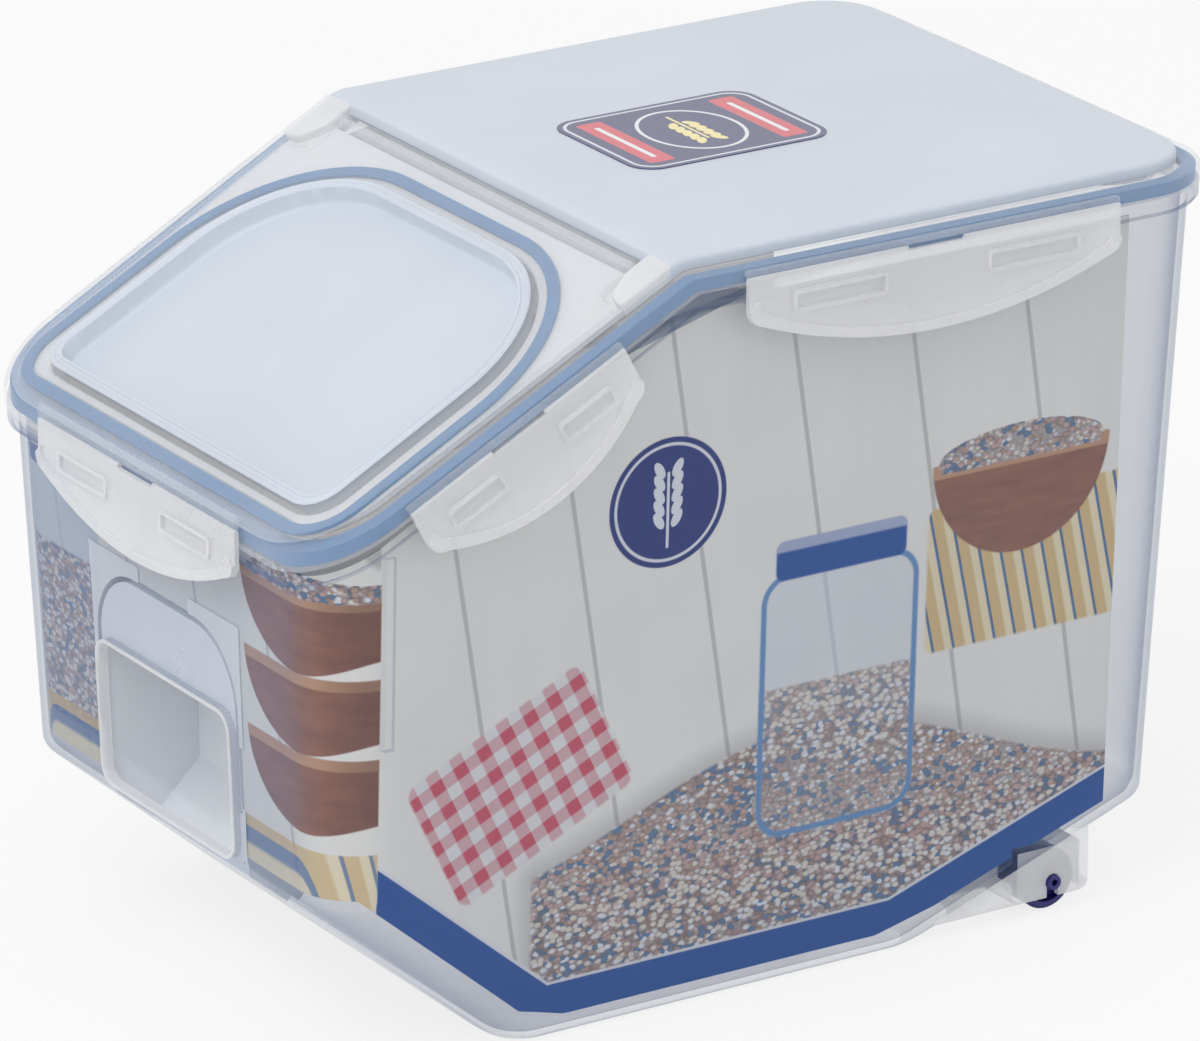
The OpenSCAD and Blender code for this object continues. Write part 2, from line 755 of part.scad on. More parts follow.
module flip_lid() color(frost_pp) {
    on_slope() {
        slab(flip_top - flip_wall, flip_top)
            difference() {
                flip_outline(0);
                scoop_shape(dish_gap + lid_wall);
            }
        slab(flip_low, flip_top)
            difference() {
                flip_outline(0);
                flip_outline(flip_wall);
            }
        translate([0, -hinge_s, hinge_n])
            rotate([0, 90, 0]) cylinder(r = hinge_r, h = cheek_gap - 2 * gap, center = true);
        translate([0, -hinge_s, hinge_n])
            rotate([0, 90, 0]) cylinder(d = pin_d, h = cheek_gap + 2 * pin_l, center = true);
        slab(flip_top - dish_depth - flip_wall, flip_top + 0.8)
            difference() {
                scoop_shape(dish_gap);
                scoop_shape(dish_gap + flip_wall);
            }
        slab(flip_top - 0.2, flip_top + 0.8)
            difference() {
                scoop_shape(dish_gap);
                scoop_shape(dish_gap + ridge_w);
            }
        slab(flip_top - dish_depth - flip_wall, flip_top - dish_depth) scoop_shape(dish_gap);
    }
    front_place()
        flap_base(end_flap_w, front_rim_h - front_axis_z + flip_top / cos(slope_angle), seat_gap, base_out + seat_gap);
}

module flip_gasket() color(seal_blue)
    on_slope()
        slab(seat_gap, flip_top - flip_wall - seat_gap)
            difference() {
                d_shape(flip_seal_side, flip_seal_far_s, flip_seal_near_s, flip_seal_far_r, flip_seal_near_r);
                d_shape(flip_seal_side - flip_seal_w, flip_seal_far_s + flip_seal_w,
                    flip_seal_near_s - flip_seal_w, flip_seal_far_r - flip_seal_w,
                    flip_seal_near_r - flip_seal_w);
            }

// ---------- flaps at their places ----------

module latch_front() front_place() flap(end_flap_w);
module latch_rear() rear_place() flap(end_flap_w);
module latch_side_right() side_place(1) flap(side_flap_w);
module latch_side_left() side_place(-1) flap(side_flap_w);
module latch_slope_right() slope_place(1) flap(slope_flap_w);
module latch_slope_left() slope_place(-1) flap(slope_flap_w);

// ---------- wheels ----------

module wheel(sx) color(navy)
    translate([sx * (wheel_out_x - wheel_w / 2), axle_y, axle_z])
        rotate([0, sx * 90, 0])
            difference() {
                union() {
                    cylinder(d = wheel_d, h = wheel_w - 2, center = true);
                    cylinder(d = wheel_d - 2, h = wheel_w, center = true);
                    translate([0, 0, -wheel_w / 2 - 0.8 - housing_wall + 0.4])
                        cylinder(d = stub_d, h = wheel_w + 1.6 + 2 * housing_wall + 0.8);
                }
                translate([0, 0, wheel_w / 2 - 4]) cylinder(d = stub_bore, h = 20);
                for (side = sides)
                    translate([0, 0, side * wheel_w / 2])
                        difference() {
                            cylinder(d = wheel_d - 5, h = 5, center = true);
                            cylinder(d = stub_d + 3, h = 6, center = true);
                        }
            }

module wheel_right() wheel(1);
module wheel_left() wheel(-1);

// ---------- sheet, label and cup ----------

// Side view of the sheet: its lower edge follows the base and both bevels
module sheet_side()
    rotate([90, 0, 90])
        linear_extrude(2 * far, center = true)
            polygon([
                [-far, sheet_front_low],
                [sheet_base_front_y - (sheet_front_low - sheet_low) / tan(front_bevel), sheet_front_low],
                [sheet_base_front_y, sheet_low],
                [sheet_base_rear_y, sheet_low],
                [sheet_rear_y, sheet_low + (sheet_rear_y - sheet_base_rear_y) * tan(rear_bevel)],
                [sheet_rear_y, far],
                [-far, far]
            ]);

module printed_sheet() color(paper)
    difference() {
        intersection() {
            tub_form(sheet_inset);
            below(sheet_top_n);
            sheet_side();
        }
        tub_form(sheet_inset + sheet_t);
        grip_solid(grip_wall + gap, 0);
        for (sx = sides) translate([0, 0, gap]) wheel_well(sx);
    }

module top_label() color(navy)
    translate([label_x, label_y, rim_h + panel_rise])
        linear_extrude(0.3) round_rect(label_w, label_l, 9);

module measuring_cup() color(milk_pp)
    translate([0, cup_y, tub_wall + cup_clear]) {
        difference() {
            union() {
                cylinder(d = cup_d, h = cup_h);
                translate([0, 0, cup_h - 2]) cylinder(d = cup_d + 5, h = 2);
            }
            translate([0, 0, cup_wall]) cylinder(d = cup_d - 2 * cup_wall, h = cup_h);
        }
        difference() {
            translate([0, cup_d / 2 + 8, cup_h / 2 + 6]) cube([9, 22, cup_h - 22], center = true);
            translate([0, cup_d / 2 + 7, cup_h / 2 + 6]) cube([20, 16, cup_h - 30], center = true);
            cylinder(d = cup_d - 2, h = cup_h);
        }
    }

body();
main_lid();
main_gasket();
flip_lid();
flip_gasket();
latch_front();
latch_rear();
latch_side_right();
latch_side_left();
latch_slope_right();
latch_slope_left();
wheel_right();
wheel_left();
printed_sheet();
top_label();
measuring_cup();
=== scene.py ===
import math

import bmesh
import bpy
from bpy.props import FloatProperty, FloatVectorProperty, PointerProperty
from mathutils import Matrix, Vector


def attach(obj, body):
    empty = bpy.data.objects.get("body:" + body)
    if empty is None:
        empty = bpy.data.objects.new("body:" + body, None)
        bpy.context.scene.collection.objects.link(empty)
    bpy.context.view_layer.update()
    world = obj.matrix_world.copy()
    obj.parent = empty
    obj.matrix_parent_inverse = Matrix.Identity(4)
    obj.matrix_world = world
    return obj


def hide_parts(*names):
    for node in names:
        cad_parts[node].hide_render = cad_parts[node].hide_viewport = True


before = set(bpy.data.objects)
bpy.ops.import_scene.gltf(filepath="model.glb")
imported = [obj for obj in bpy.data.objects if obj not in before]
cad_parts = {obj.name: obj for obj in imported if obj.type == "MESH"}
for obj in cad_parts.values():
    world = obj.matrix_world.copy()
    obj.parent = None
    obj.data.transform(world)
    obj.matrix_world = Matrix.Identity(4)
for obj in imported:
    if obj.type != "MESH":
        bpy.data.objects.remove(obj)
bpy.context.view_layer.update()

bl_info = {
    "name": "Rice bin with flip lid",
    "version": (1, 0, 0),
    "blender": (4, 5, 0),
    "location": "View3D > Sidebar > Rice bin",
    "description": "Builds a translucent rice bin: tub, lids, clip flaps, printed sheet and studio",
    "category": "Object",
}

MM = 0.001

# Fixed sizes in millimetres. n is square to the rim line, s runs down the slope from the bend.
TUB_SPLIT = 135.0  # above this height the tub's rows rise to the rim line
TUB_TOP_N = -4.1
BASE_CORNER_R, FRONT_CORNER_GAIN, REAR_CORNER_GAIN = 14.0, 9.0, 10.4
BEVEL_BLEND = 2.0  # rounding between the tub's walls and bevels
FLAP_AXIS_N = -4.65
FRONT_AXIS_DROP = 1.9
SIDE_FLAP_FROM_REAR = 113.5
SLOPE_FLAP_SHIFT = 1.3
SLOT_PLACE, SLOT_SHARE = 0.26, 0.125  # middle and half length of a flap's slots, by its width
SLOT_Z = -9.0
FLAP_CORNER_R = 4.5
HINGE_R, PIN_R, HINGE_HALF, PIN_END = 2.5, 1.4, 85.7, 93.0
CHEEK_MIDDLE = (93.0, 11.0)  # x and s
NOTCH_X, NOTCH_S, NOTCH_R = 86.0, 22.5, 3.0
SCOOP_CENTRE = (0.0, 75.0)
FRAME_NEAR = 10.3  # s at which the slope's frame begins, behind it lies the hinge trough
AXLE_Y, AXLE_Z, AXLE_R = 109.0, 10.5, 2.7
HOUSING_X, HOUSING_SKIN, HOUSING_REAR, WELL_FRONT = 75.0, 2.0, 122.5, 94.8
GRIP_HALF, GRIP_DEPTH, GRIP_SKIN, POCKET_TOP = 41.0, 34.0, 1.8, 150.0
ARCH_X, ARCH_Z, ARCH_R = 19.0, 106.0, 22.0
WINDOW_HALF, WINDOW_R, WINDOW_Z = 24.75, 7.0, 80.75
PAST = 10.0  # how far a cutter reaches past what it cuts
PAPER_INSETS = (2.7, 3.3)  # both faces of the printed sheet, inside the tub's outer wall
PAPER_REAR, PAPER_FOOT, PAPER_LEVELS = 129.0, 6.0, 26
LABEL_HALF, LABEL_R, LABEL_MIDDLE = (28.0, 36.0), 9.0, (-3.5, 36.0)
LEVEL_STATIONS = [110.0, 75.0, 40.0, 5.0, -20.0, -30.0]
SLOPE_STATIONS = [-31.5 - 0.7 * k for k in range(11)] + [-42.0, -50.0, -60.0, -75.0, -90.0, -105.0, -120.0]


# ---------- settings ----------

def length(name, description, metres):
    return FloatProperty(name=name, description=description, default=metres, min=-1.0, max=1.0,
                         unit="LENGTH", precision=4)


def angle(name, description, degrees):
    return FloatProperty(name=name, description=description, default=math.radians(degrees),
                         unit="ROTATION")


def amount(name, description, value, high=1.0):
    return FloatProperty(name=name, description=description, default=value, min=0.0, max=high,
                         subtype="FACTOR" if high == 1.0 else "NONE")


def colour(name, description, red, green, blue):
    """A colour setting from the 0 to 255 values of a paint chart."""
    return FloatVectorProperty(name=name, description=description, size=3, subtype="COLOR",
                               min=0.0, max=1.0, default=[linear(v) for v in (red, green, blue)])


def linear(value):
    value /= 255.0
    return value / 12.92 if value <= 0.04045 else ((value + 0.055) / 1.055) ** 2.4


class BinSizes(bpy.types.PropertyGroup):
    lid_width: length("Lid width", "Width across the lid's skirt", 0.215)
    lid_length: length("Lid length", "Length of the lid's skirt", 0.330)
    lid_corner: length("Lid corner", "Corner radius of the skirt seen from above", 0.028)
    rim_height: length("Rim height", "Height of the level rim's top", 0.242)
    slope: angle("Slope", "Fall of the front slope below level", 27.8)
    bend_place: length("Bend place", "Where the slope begins, from the middle", -0.0345)
    bend_radius: length("Bend radius", "Radius of the bend between slope and level rim", 0.008)
    tub_wall: length("Tub wall", "Wall thickness of the tub", 0.0022)
    tub_inset: length("Tub inset", "Distance of the tub's wall inside the skirt", 0.0036)
    draft: angle("Draft", "Draft of the tub's walls", 2.25)
    front_bevel: length("Front bevel", "Height of the front bevel's upper edge", 0.055)
    rear_bevel: length("Rear bevel", "Height of the rear bevel's upper edge", 0.032)
    base_front: length("Base front", "Front end of the flat base", -0.0925)
    base_rear: length("Base rear", "Rear end of the flat base", 0.060)
    base_edge: length("Base edge", "Rounding of the edges round the base", 0.0045)
    panel_inset: length("Panel inset", "Distance of the raised panel inside the skirt", 0.008)
    panel_rise: length("Panel rise", "Rise of the rear panel above the rim", 0.0031)
    lid_wall: length("Lid wall", "Thickness of the lid's plastic", 0.0018)
    flap_drop: length("Flap drop", "Drop of a clip flap below its hinge, in the middle", 0.027)
    flap_end: length("Flap end", "Drop of a clip flap at its ends", 0.013)


class BinColours(bpy.types.PropertyGroup):
    clear: colour("Clear plastic", "Tub", 92, 122, 166)
    frosted: colour("Frosted plastic", "Top panel and dish of the flip lid", 214, 221, 231)
    rim: colour("Rim plastic", "Clearer edges of both lids", 238, 242, 248)
    milky: colour("Milky plastic", "Clip flaps and sloped frame", 244, 245, 247)
    seal: colour("Seal", "Silicone seals", 12, 110, 168)
    wheel: colour("Wheels", "Wheels and their stubs", 30, 26, 104)
    paper: colour("Paper", "Ground of the printed sheet", 244, 239, 232)
    band: colour("Band", "Band along the sheet's lower edge", 38, 84, 160)
    accent: colour("Accent", "Checked cloth on the sheet and bands on the label", 212, 66, 84)
    navy: colour("Navy", "Round seal on the sheet and ground of the label", 40, 50, 120)
    floor: colour("Floor", "Floor and backdrop", 243, 243, 244)


class StageSettings(bpy.types.PropertyGroup):
    key_power: amount("Key power", "Power of the large soft lamp", 19.0, 200.0)
    fill_power: amount("Fill power", "Power of the lamp on the shaded side", 2.5, 200.0)
    sky: amount("Sky", "Strength of the even light from all round", 0.7, 5.0)


# ---------- the bin's form ----------

class BinForm:
    """Heights and outlines of the bin in millimetres, worked out from its sizes."""

    def __init__(self, sizes):
        self.half_w = sizes.lid_width / MM / 2
        self.half_l = sizes.lid_length / MM / 2
        self.corner = sizes.lid_corner / MM
        self.rim = sizes.rim_height / MM
        self.slope = sizes.slope
        self.bend = sizes.bend_place / MM
        self.bend_r = sizes.bend_radius / MM
        self.wall = sizes.tub_wall / MM
        self.inset = sizes.tub_inset / MM
        self.draft = math.tan(sizes.draft)
        self.panel_in = sizes.panel_inset / MM
        self.panel_up = sizes.panel_rise / MM
        self.lid_wall = sizes.lid_wall / MM
        self.edge = sizes.base_edge / MM
        self.taper = math.atan(math.tan(self.slope) * self.draft)
        self.front_rim = self.rim - (self.bend + self.half_l) * math.tan(self.slope)
        self.slope_l = (self.bend + self.half_l) / math.cos(self.slope)
        self.front_corner_y = -self.half_l + self.corner
        self.front_corner_x = (self.half_w - (self.bend - self.front_corner_y) * math.tan(self.taper)
                               - self.corner / math.cos(self.taper))
        self.bevel_f = sizes.front_bevel / MM
        self.bevel_r = sizes.rear_bevel / MM
        self.base_f = sizes.base_front / MM
        self.base_r = sizes.base_rear / MM
        self.flap_axis = FLAP_AXIS_N
        self.flap_drop = sizes.flap_drop / MM
        self.flap_end = sizes.flap_end / MM
        self.front_axis_z = self.front_rim - FRONT_AXIS_DROP
        self.slope_flap_s = self.slope_l / 2 - SLOPE_FLAP_SHIFT
        self.side_flap_y = self.half_l - SIDE_FLAP_FROM_REAR
        self.front_foot = -self.half_l + self.inset + (self.front_rim - self.bevel_f) * self.draft
        self.rear_foot = self.half_l - self.inset - (self.rim - self.bevel_r) * self.draft
        self.bevel_lean = self.bevel_r / (self.rear_foot - self.base_r)
        self.nose_s = self.bend_r * math.tan(self.slope / 2) + self.lid_wall + 0.2
        self.flip_top = self.panel_up - 0.2
        self.hinge_s = self.nose_s + HINGE_R + 0.75
        self.hinge_n = self.flip_top - HINGE_R
        self.housing_side = self.tub_half_w(AXLE_Z) - 0.2

    def rim_z(self, y, n):
        """Height of the rim line at y, raised by n square to itself."""
        radius = self.bend_r + n
        cy = self.bend + self.bend_r * math.tan(self.slope / 2)
        cz = self.rim - self.bend_r
        falling = self.rim + (y - self.bend) * math.tan(self.slope) + n / math.cos(self.slope)
        if y >= cy:
            return self.rim + n
        if radius > 0 and y > cy - radius * math.sin(self.slope):
            return cz + math.sqrt(radius * radius - (y - cy) ** 2)
        return min(falling, self.rim + n)

    def on_slope(self, x, s, n):
        """A point s down the slope from the bend and n square to it."""
        return (x, self.bend - s * math.cos(self.slope) - n * math.sin(self.slope),
                self.rim - s * math.sin(self.slope) + n * math.cos(self.slope))

    def lid_half(self, inset):
        """Right half of the lid's outline, from the middle of the rear to the middle of the front."""
        r = self.corner - inset
        rear_x, rear_y = self.half_w - self.corner, self.half_l - self.corner
        points = [(0.0, self.half_l - inset), (rear_x / 2, self.half_l - inset)]
        points += arc(rear_x, rear_y, r, 90, 0, 14)
        side = self.half_w - inset
        for y in LEVEL_STATIONS:
            points.append((side, y))
        lean = math.tan(self.taper)
        for y in SLOPE_STATIONS:
            points.append((side - max(0.0, self.bend - y) * lean, y))
        points += arc(self.front_corner_x, self.front_corner_y, r, -math.degrees(self.taper), -90, 14)
        points += [(self.front_corner_x / 2, -self.half_l + inset), (0.0, -self.half_l + inset)]
        return points

    def lid_loop(self, inset, n):
        """The lid's whole outline at an inset, on the rim line raised by n."""
        return [(x, y, self.rim_z(y, n)) for x, y in mirrored(self.lid_half(inset))]

    def tub_half_w(self, z):
        return self.half_w - self.inset - (self.rim - z) * self.draft

    def tub_front(self, z, inset=0.0):
        """Front of the tub's section at height z: the wall, or the bevel below it."""
        wall = -self.half_l + self.inset + (self.front_rim - z) * self.draft
        run = self.base_f - self.front_foot
        plane = self.base_f - run * z / self.bevel_f + inset * math.hypot(1, run / self.bevel_f)
        return smooth_max(wall + inset, plane, BEVEL_BLEND)

    def tub_rear(self, z, inset=0.0):
        wall = self.half_l - self.inset - (self.rim - z) * self.draft
        run = self.rear_foot - self.base_r
        plane = self.base_r + run * z / self.bevel_r - inset * math.hypot(1, run / self.bevel_r)
        return -smooth_max(-(wall - inset), -plane, BEVEL_BLEND)

    def rear_bevel_z(self, y):
        return (y - self.base_r) * self.bevel_lean

    def tub_half(self, z, inset):
        """Right half of the tub's section at height z, from rear to front, moved in by inset."""
        radius = self.edge - inset
        below = max(0.0, self.edge - z)
        tuck = radius - math.sqrt(max(0.0, radius ** 2 - min(below, radius) ** 2))
        side = self.tub_half_w(z) - inset - tuck
        front = self.tub_front(z, inset) + 0.4 * tuck
        rear = self.tub_rear(z, inset) - 0.25 * tuck
        r_front = BASE_CORNER_R + FRONT_CORNER_GAIN * min(1.0, z / self.bevel_f)
        r_front += 1.4 * max(0.0, (z - self.bevel_f) / 200)
        r_rear = BASE_CORNER_R + REAR_CORNER_GAIN * min(1.0, z / self.bevel_r)
        r_front, r_rear = r_front - inset - tuck, r_rear - inset - tuck
        points = [(0.0, rear), ((side - r_rear) / 2, rear)]
        points += arc(side - r_rear, rear - r_rear, r_rear, 90, 0, 12)
        for k in range(1, 24):
            points.append((side, rear - r_rear + (front + r_front - rear + r_rear) * k / 24))
        points += arc(side - r_front, front + r_front, r_front, 0, -90, 12)
        points += [((side - r_front) * (1 - k / 5), front) for k in range(1, 6)]
        return points

    def tub_rows(self, inset, top_n):
        """Rows of the tub's wall from its base up to the rim line raised by top_n."""
        base = inset
        heights = [base + (self.edge - base) * k / 6 for k in range(7)]
        heights += [7.0, 12.0, 18.0, 24.0, 29.0, 31.0, 32.0, 33.0, 36.0, 42.0, 48.0, 52.0, 54.0, 55.0,
                    56.0, 58.0, 62.0, 75.0, 95.0, 115.0, TUB_SPLIT]
        rows = [[(x, y, z) for x, y in mirrored(self.tub_half(z, inset))] for z in heights]
        for k in range(1, 15):
            row = []
            for spot in range(len(rows[0])):
                z = TUB_SPLIT
                for _ in range(3):
                    x, y = mirrored(self.tub_half(z, inset))[spot]
                    z = TUB_SPLIT + (self.rim_z(y, top_n) - TUB_SPLIT) * k / 14
                row.append((x, y, z))
            rows.append(row)
        return rows

    def flap_place(self, which):
        """Matrix of a flap's frame: x points out, y runs along the hinge, z = 0 is the axis."""
        kind, side = FLAPS[which][:2]
        turn = Matrix.Rotation(0 if side > 0 else math.pi, 4, "Z")
        if kind == "level":
            return Matrix.Translation((side * self.half_w, self.side_flap_y, self.rim + self.flap_axis)) @ turn
        if kind == "slope":
            return (Matrix.Translation((side * self.half_w, self.bend, self.rim))
                    @ Matrix.Rotation(-side * self.taper, 4, "Z") @ Matrix.Rotation(self.slope, 4, "X")
                    @ Matrix.Translation((0, -self.slope_flap_s, self.flap_axis)) @ turn)
        if side < 0:
            return (Matrix.Translation((0, -self.half_l, self.front_axis_z))
                    @ Matrix.Rotation(-math.pi / 2, 4, "Z"))
        return (Matrix.Translation((0, self.half_l, self.rim + self.flap_axis))
                @ Matrix.Rotation(math.pi / 2, 4, "Z"))


# name: kind, side, width of the flap, CAD node, body
FLAPS = {
    "front": ("end", -1, 120.0, "latch_front", "front_latch"),
    "rear": ("end", 1, 120.0, "latch_rear", "rear_latch"),
    "side_right": ("level", 1, 136.0, "latch_side_right", "side_latch_right"),
    "side_left": ("level", -1, 136.0, "latch_side_left", "side_latch_left"),
    "slope_right": ("slope", 1, 83.0, "latch_slope_right", "slope_latch_right"),
    "slope_left": ("slope", -1, 83.0, "latch_slope_left", "slope_latch_left"),
}


def arc(cx, cy, r, start, stop, steps):
    return [(cx + r * math.cos(math.radians(start + (stop - start) * k / steps)),
             cy + r * math.sin(math.radians(start + (stop - start) * k / steps)))
            for k in range(steps + 1)]


def smooth_max(a, b, blend):
    overlap = max(blend - abs(a - b), 0.0) / blend
    return max(a, b) + overlap * overlap * blend / 4


def mirrored(half):
    """A closed outline from its right half, whose two ends lie in the middle plane."""
    return half + [(-x, y) for x, y in reversed(half[1:-1])]


def scoop_half(shrink):
    """Right half of the scoop opening's D shape, x against the way down the slope."""
    half_w, far, near = 84.0 - shrink, 22.0 + shrink, 134.0 - shrink
    far_r, near_r = 50.0 - shrink, 12.0 - shrink
    points = [(0.0, far)] + arc(half_w - far_r, far + far_r, far_r, -90, 0, 20)
    points += [(half_w, far + far_r + (near - near_r - far - far_r) * k / 5) for k in range(1, 5)]
    return points + arc(half_w - near_r, near - near_r, near_r, 0, 90, 10) + [(0.0, near)]


def star_loop(outline, centre, bearings):
    """The points of a closed outline that lie at the given bearings from its centre."""
    cx, cy = centre
    found = []
    for bearing in bearings:
        dx, dy = math.cos(bearing), math.sin(bearing)
        best = 0.0
        for (ax, ay), (bx, by) in zip(outline, outline[1:] + outline[:1]):
            ex, ey = bx - ax, by - ay
            cross = dx * ey - dy * ex
            if abs(cross) < 1e-12:
                continue
            reach = ((ax - cx) * ey - (ay - cy) * ex) / cross
            along = ((ax - cx) * dy - (ay - cy) * dx) / cross
            if reach > best and -1e-9 <= along <= 1 + 1e-9:
                best = reach
        found.append((cx + dx * best, cy + dy * best))
    return found


# ---------- mesh tools ----------

class Draft:
    """Gathers the points and faces of a piece in millimetres."""

    def __init__(self):
        self.points, self.faces, self.skins = [], [], []

    def add(self, points, faces, skins, place=None):
        start = len(self.points)
        self.points += [tuple(place @ Vector(point)) if place else tuple(point) for point in points]
        self.faces += [[start + k for k in face] for face in faces]
        self.skins += skins

    def loft(self, rows, round_trip=False, caps=False, skin=0, place=None):
        """Skin over closed rows of equal length; a skin list gives one number for each strip."""
        n = len(rows[0])
        strips = len(rows) if round_trip else len(rows) - 1
        strip_skins = skin if isinstance(skin, list) else [skin] * strips
        faces, skins = [], []
        for r in range(strips):
            a, b = r * n, (r + 1) % len(rows) * n
            faces += [(a + k, a + (k + 1) % n, b + (k + 1) % n, b + k) for k in range(n)]
            skins += [strip_skins[r]] * n
        if caps:
            faces += [range(n - 1, -1, -1), range(strips * n, strips * n + n)]
            skins += [strip_skins[0], strip_skins[-1]]
        self.add([point for row in rows for point in row], faces, skins, place)

    def prism(self, outline, low, high, axis="z", skin=0, place=None):
        """An outline pushed along an axis; the outline gives the two other coordinates in order."""
        def lift(p, h):
            return {"x": (h, *p), "y": (p[0], h, p[1]), "z": (*p, h)}[axis]

        rows = [[lift(p, h) for p in outline] for h in (low, high)]
        self.loft(rows, caps=True, skin=skin, place=place)

    def box(self, low, high, place=None):
        (x0, y0, z0), (x1, y1, z1) = low, high
        self.prism([(x0, y0), (x1, y0), (x1, y1), (x0, y1)], z0, z1, place=place)

    def tube(self, start, end, radius, steps=24, skin=0, place=None):
        axis = (Vector(end) - Vector(start)).normalized()
        side = axis.orthogonal().normalized()
        other = axis.cross(side)
        rows = [[tuple(Vector(c) + radius * (math.cos(t) * side + math.sin(t) * other))
                 for t in (2 * math.pi * k / steps for k in range(steps))] for c in (start, end)]
        self.loft(rows, caps=True, skin=skin, place=place)

    def object(self, name):
        mesh = bpy.data.meshes.new(name)
        mesh.from_pydata([tuple(c * MM for c in p) for p in self.points], [], self.faces)
        for polygon, skin in zip(mesh.polygons, self.skins):
            polygon.material_index = skin
        edit = bmesh.new()
        edit.from_mesh(mesh)
        bmesh.ops.remove_doubles(edit, verts=edit.verts, dist=1e-6)
        bmesh.ops.dissolve_degenerate(edit, edges=edit.edges, dist=1e-7)
        bmesh.ops.recalc_face_normals(edit, faces=edit.faces)
        edit.to_mesh(mesh)
        edit.free()
        piece = bpy.data.objects.new(name, mesh)
        bpy.context.scene.collection.objects.link(piece)
        return piece


def carve(piece, *tools, operation="DIFFERENCE"):
    """Cuts the tools out of the piece, or joins or keeps what they share, and removes them."""
    for tool in tools:
        cut = piece.modifiers.new("Cut", "BOOLEAN")
        cut.operation = operation
        cut.solver = "MANIFOLD"
        cut.object = tool
        bpy.context.view_layer.update()
        shaped = piece.evaluated_get(bpy.context.evaluated_depsgraph_get())
        mesh = bpy.data.meshes.new_from_object(shaped)
        mesh.materials.clear()
        old = piece.data
        piece.modifiers.clear()
        piece.data = mesh
        bpy.data.meshes.remove(old)
        bpy.data.objects.remove(tool)
    return piece


def soften(piece, width, sharpest):
    """Rounds the edges that turn by more than that many degrees."""
    edge = piece.modifiers.new("Soft edges", "BEVEL")
    edge.width = width * MM
    edge.segments = 2
    edge.limit_method = "ANGLE"
    edge.angle_limit = math.radians(sharpest)
    edge.harden_normals = True


def dress(piece, body, skins, nodes=(), soft_edge=0.0, crease=35.0):
    """Shades a piece, rounds its edges, paints it and ties it to a body of the frame."""
    mesh = piece.data
    for skin in skins:
        mesh.materials.append(skin)
    mesh.shade_smooth()
    mesh.set_sharp_from_angle(angle=math.radians(crease))
    if soft_edge:
        soften(piece, soft_edge, 40.0)
    if nodes:
        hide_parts(*nodes)
    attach(piece, body)


# ---------- surfaces ----------

class Field:
    """A number that varies over a surface, worked out by shader nodes."""

    def __init__(self, paint, socket):
        self.paint, self.socket = paint, socket

    def join(self, operation, other=None, clamp=False):
        node = self.paint.node("ShaderNodeMath")
        node.operation = operation
        node.use_clamp = clamp
        self.paint.put(node.inputs[0], self)
        if other is not None:
            self.paint.put(node.inputs[1], other)
        return Field(self.paint, node.outputs[0])

    def __add__(self, other):
        return self.join("ADD", other)

    def __sub__(self, other):
        return self.join("SUBTRACT", other)

    def __mul__(self, other):
        return self.join("MULTIPLY", other)

    def __truediv__(self, other):
        return self.join("DIVIDE", other)

    __radd__, __rmul__ = __add__, __mul__

    def __rsub__(self, other):
        return (self * -1.0) + other

    def size(self):
        return self.join("ABSOLUTE")

    def least(self, other):
        return self.join("MINIMUM", other)

    def most(self, other):
        return self.join("MAXIMUM", other)

    def power(self, other):
        return self.join("POWER", other)

    def root(self):
        return self.join("SQRT")

    def wave(self):
        return self.join("SINE")

    def part(self):
        return self.join("FRACT")

    def over(self, edge, soft=0.25):
        """1 where the field is above the edge, 0 below, with a soft step."""
        return ((self - edge) / soft + 0.5).join("ADD", 0.0, clamp=True)

    def under(self, edge, soft=0.25):
        return ((self * -1.0 + edge) / soft + 0.5).join("ADD", 0.0, clamp=True)

    def spread(self, low, high):
        return self * (high - low) + low


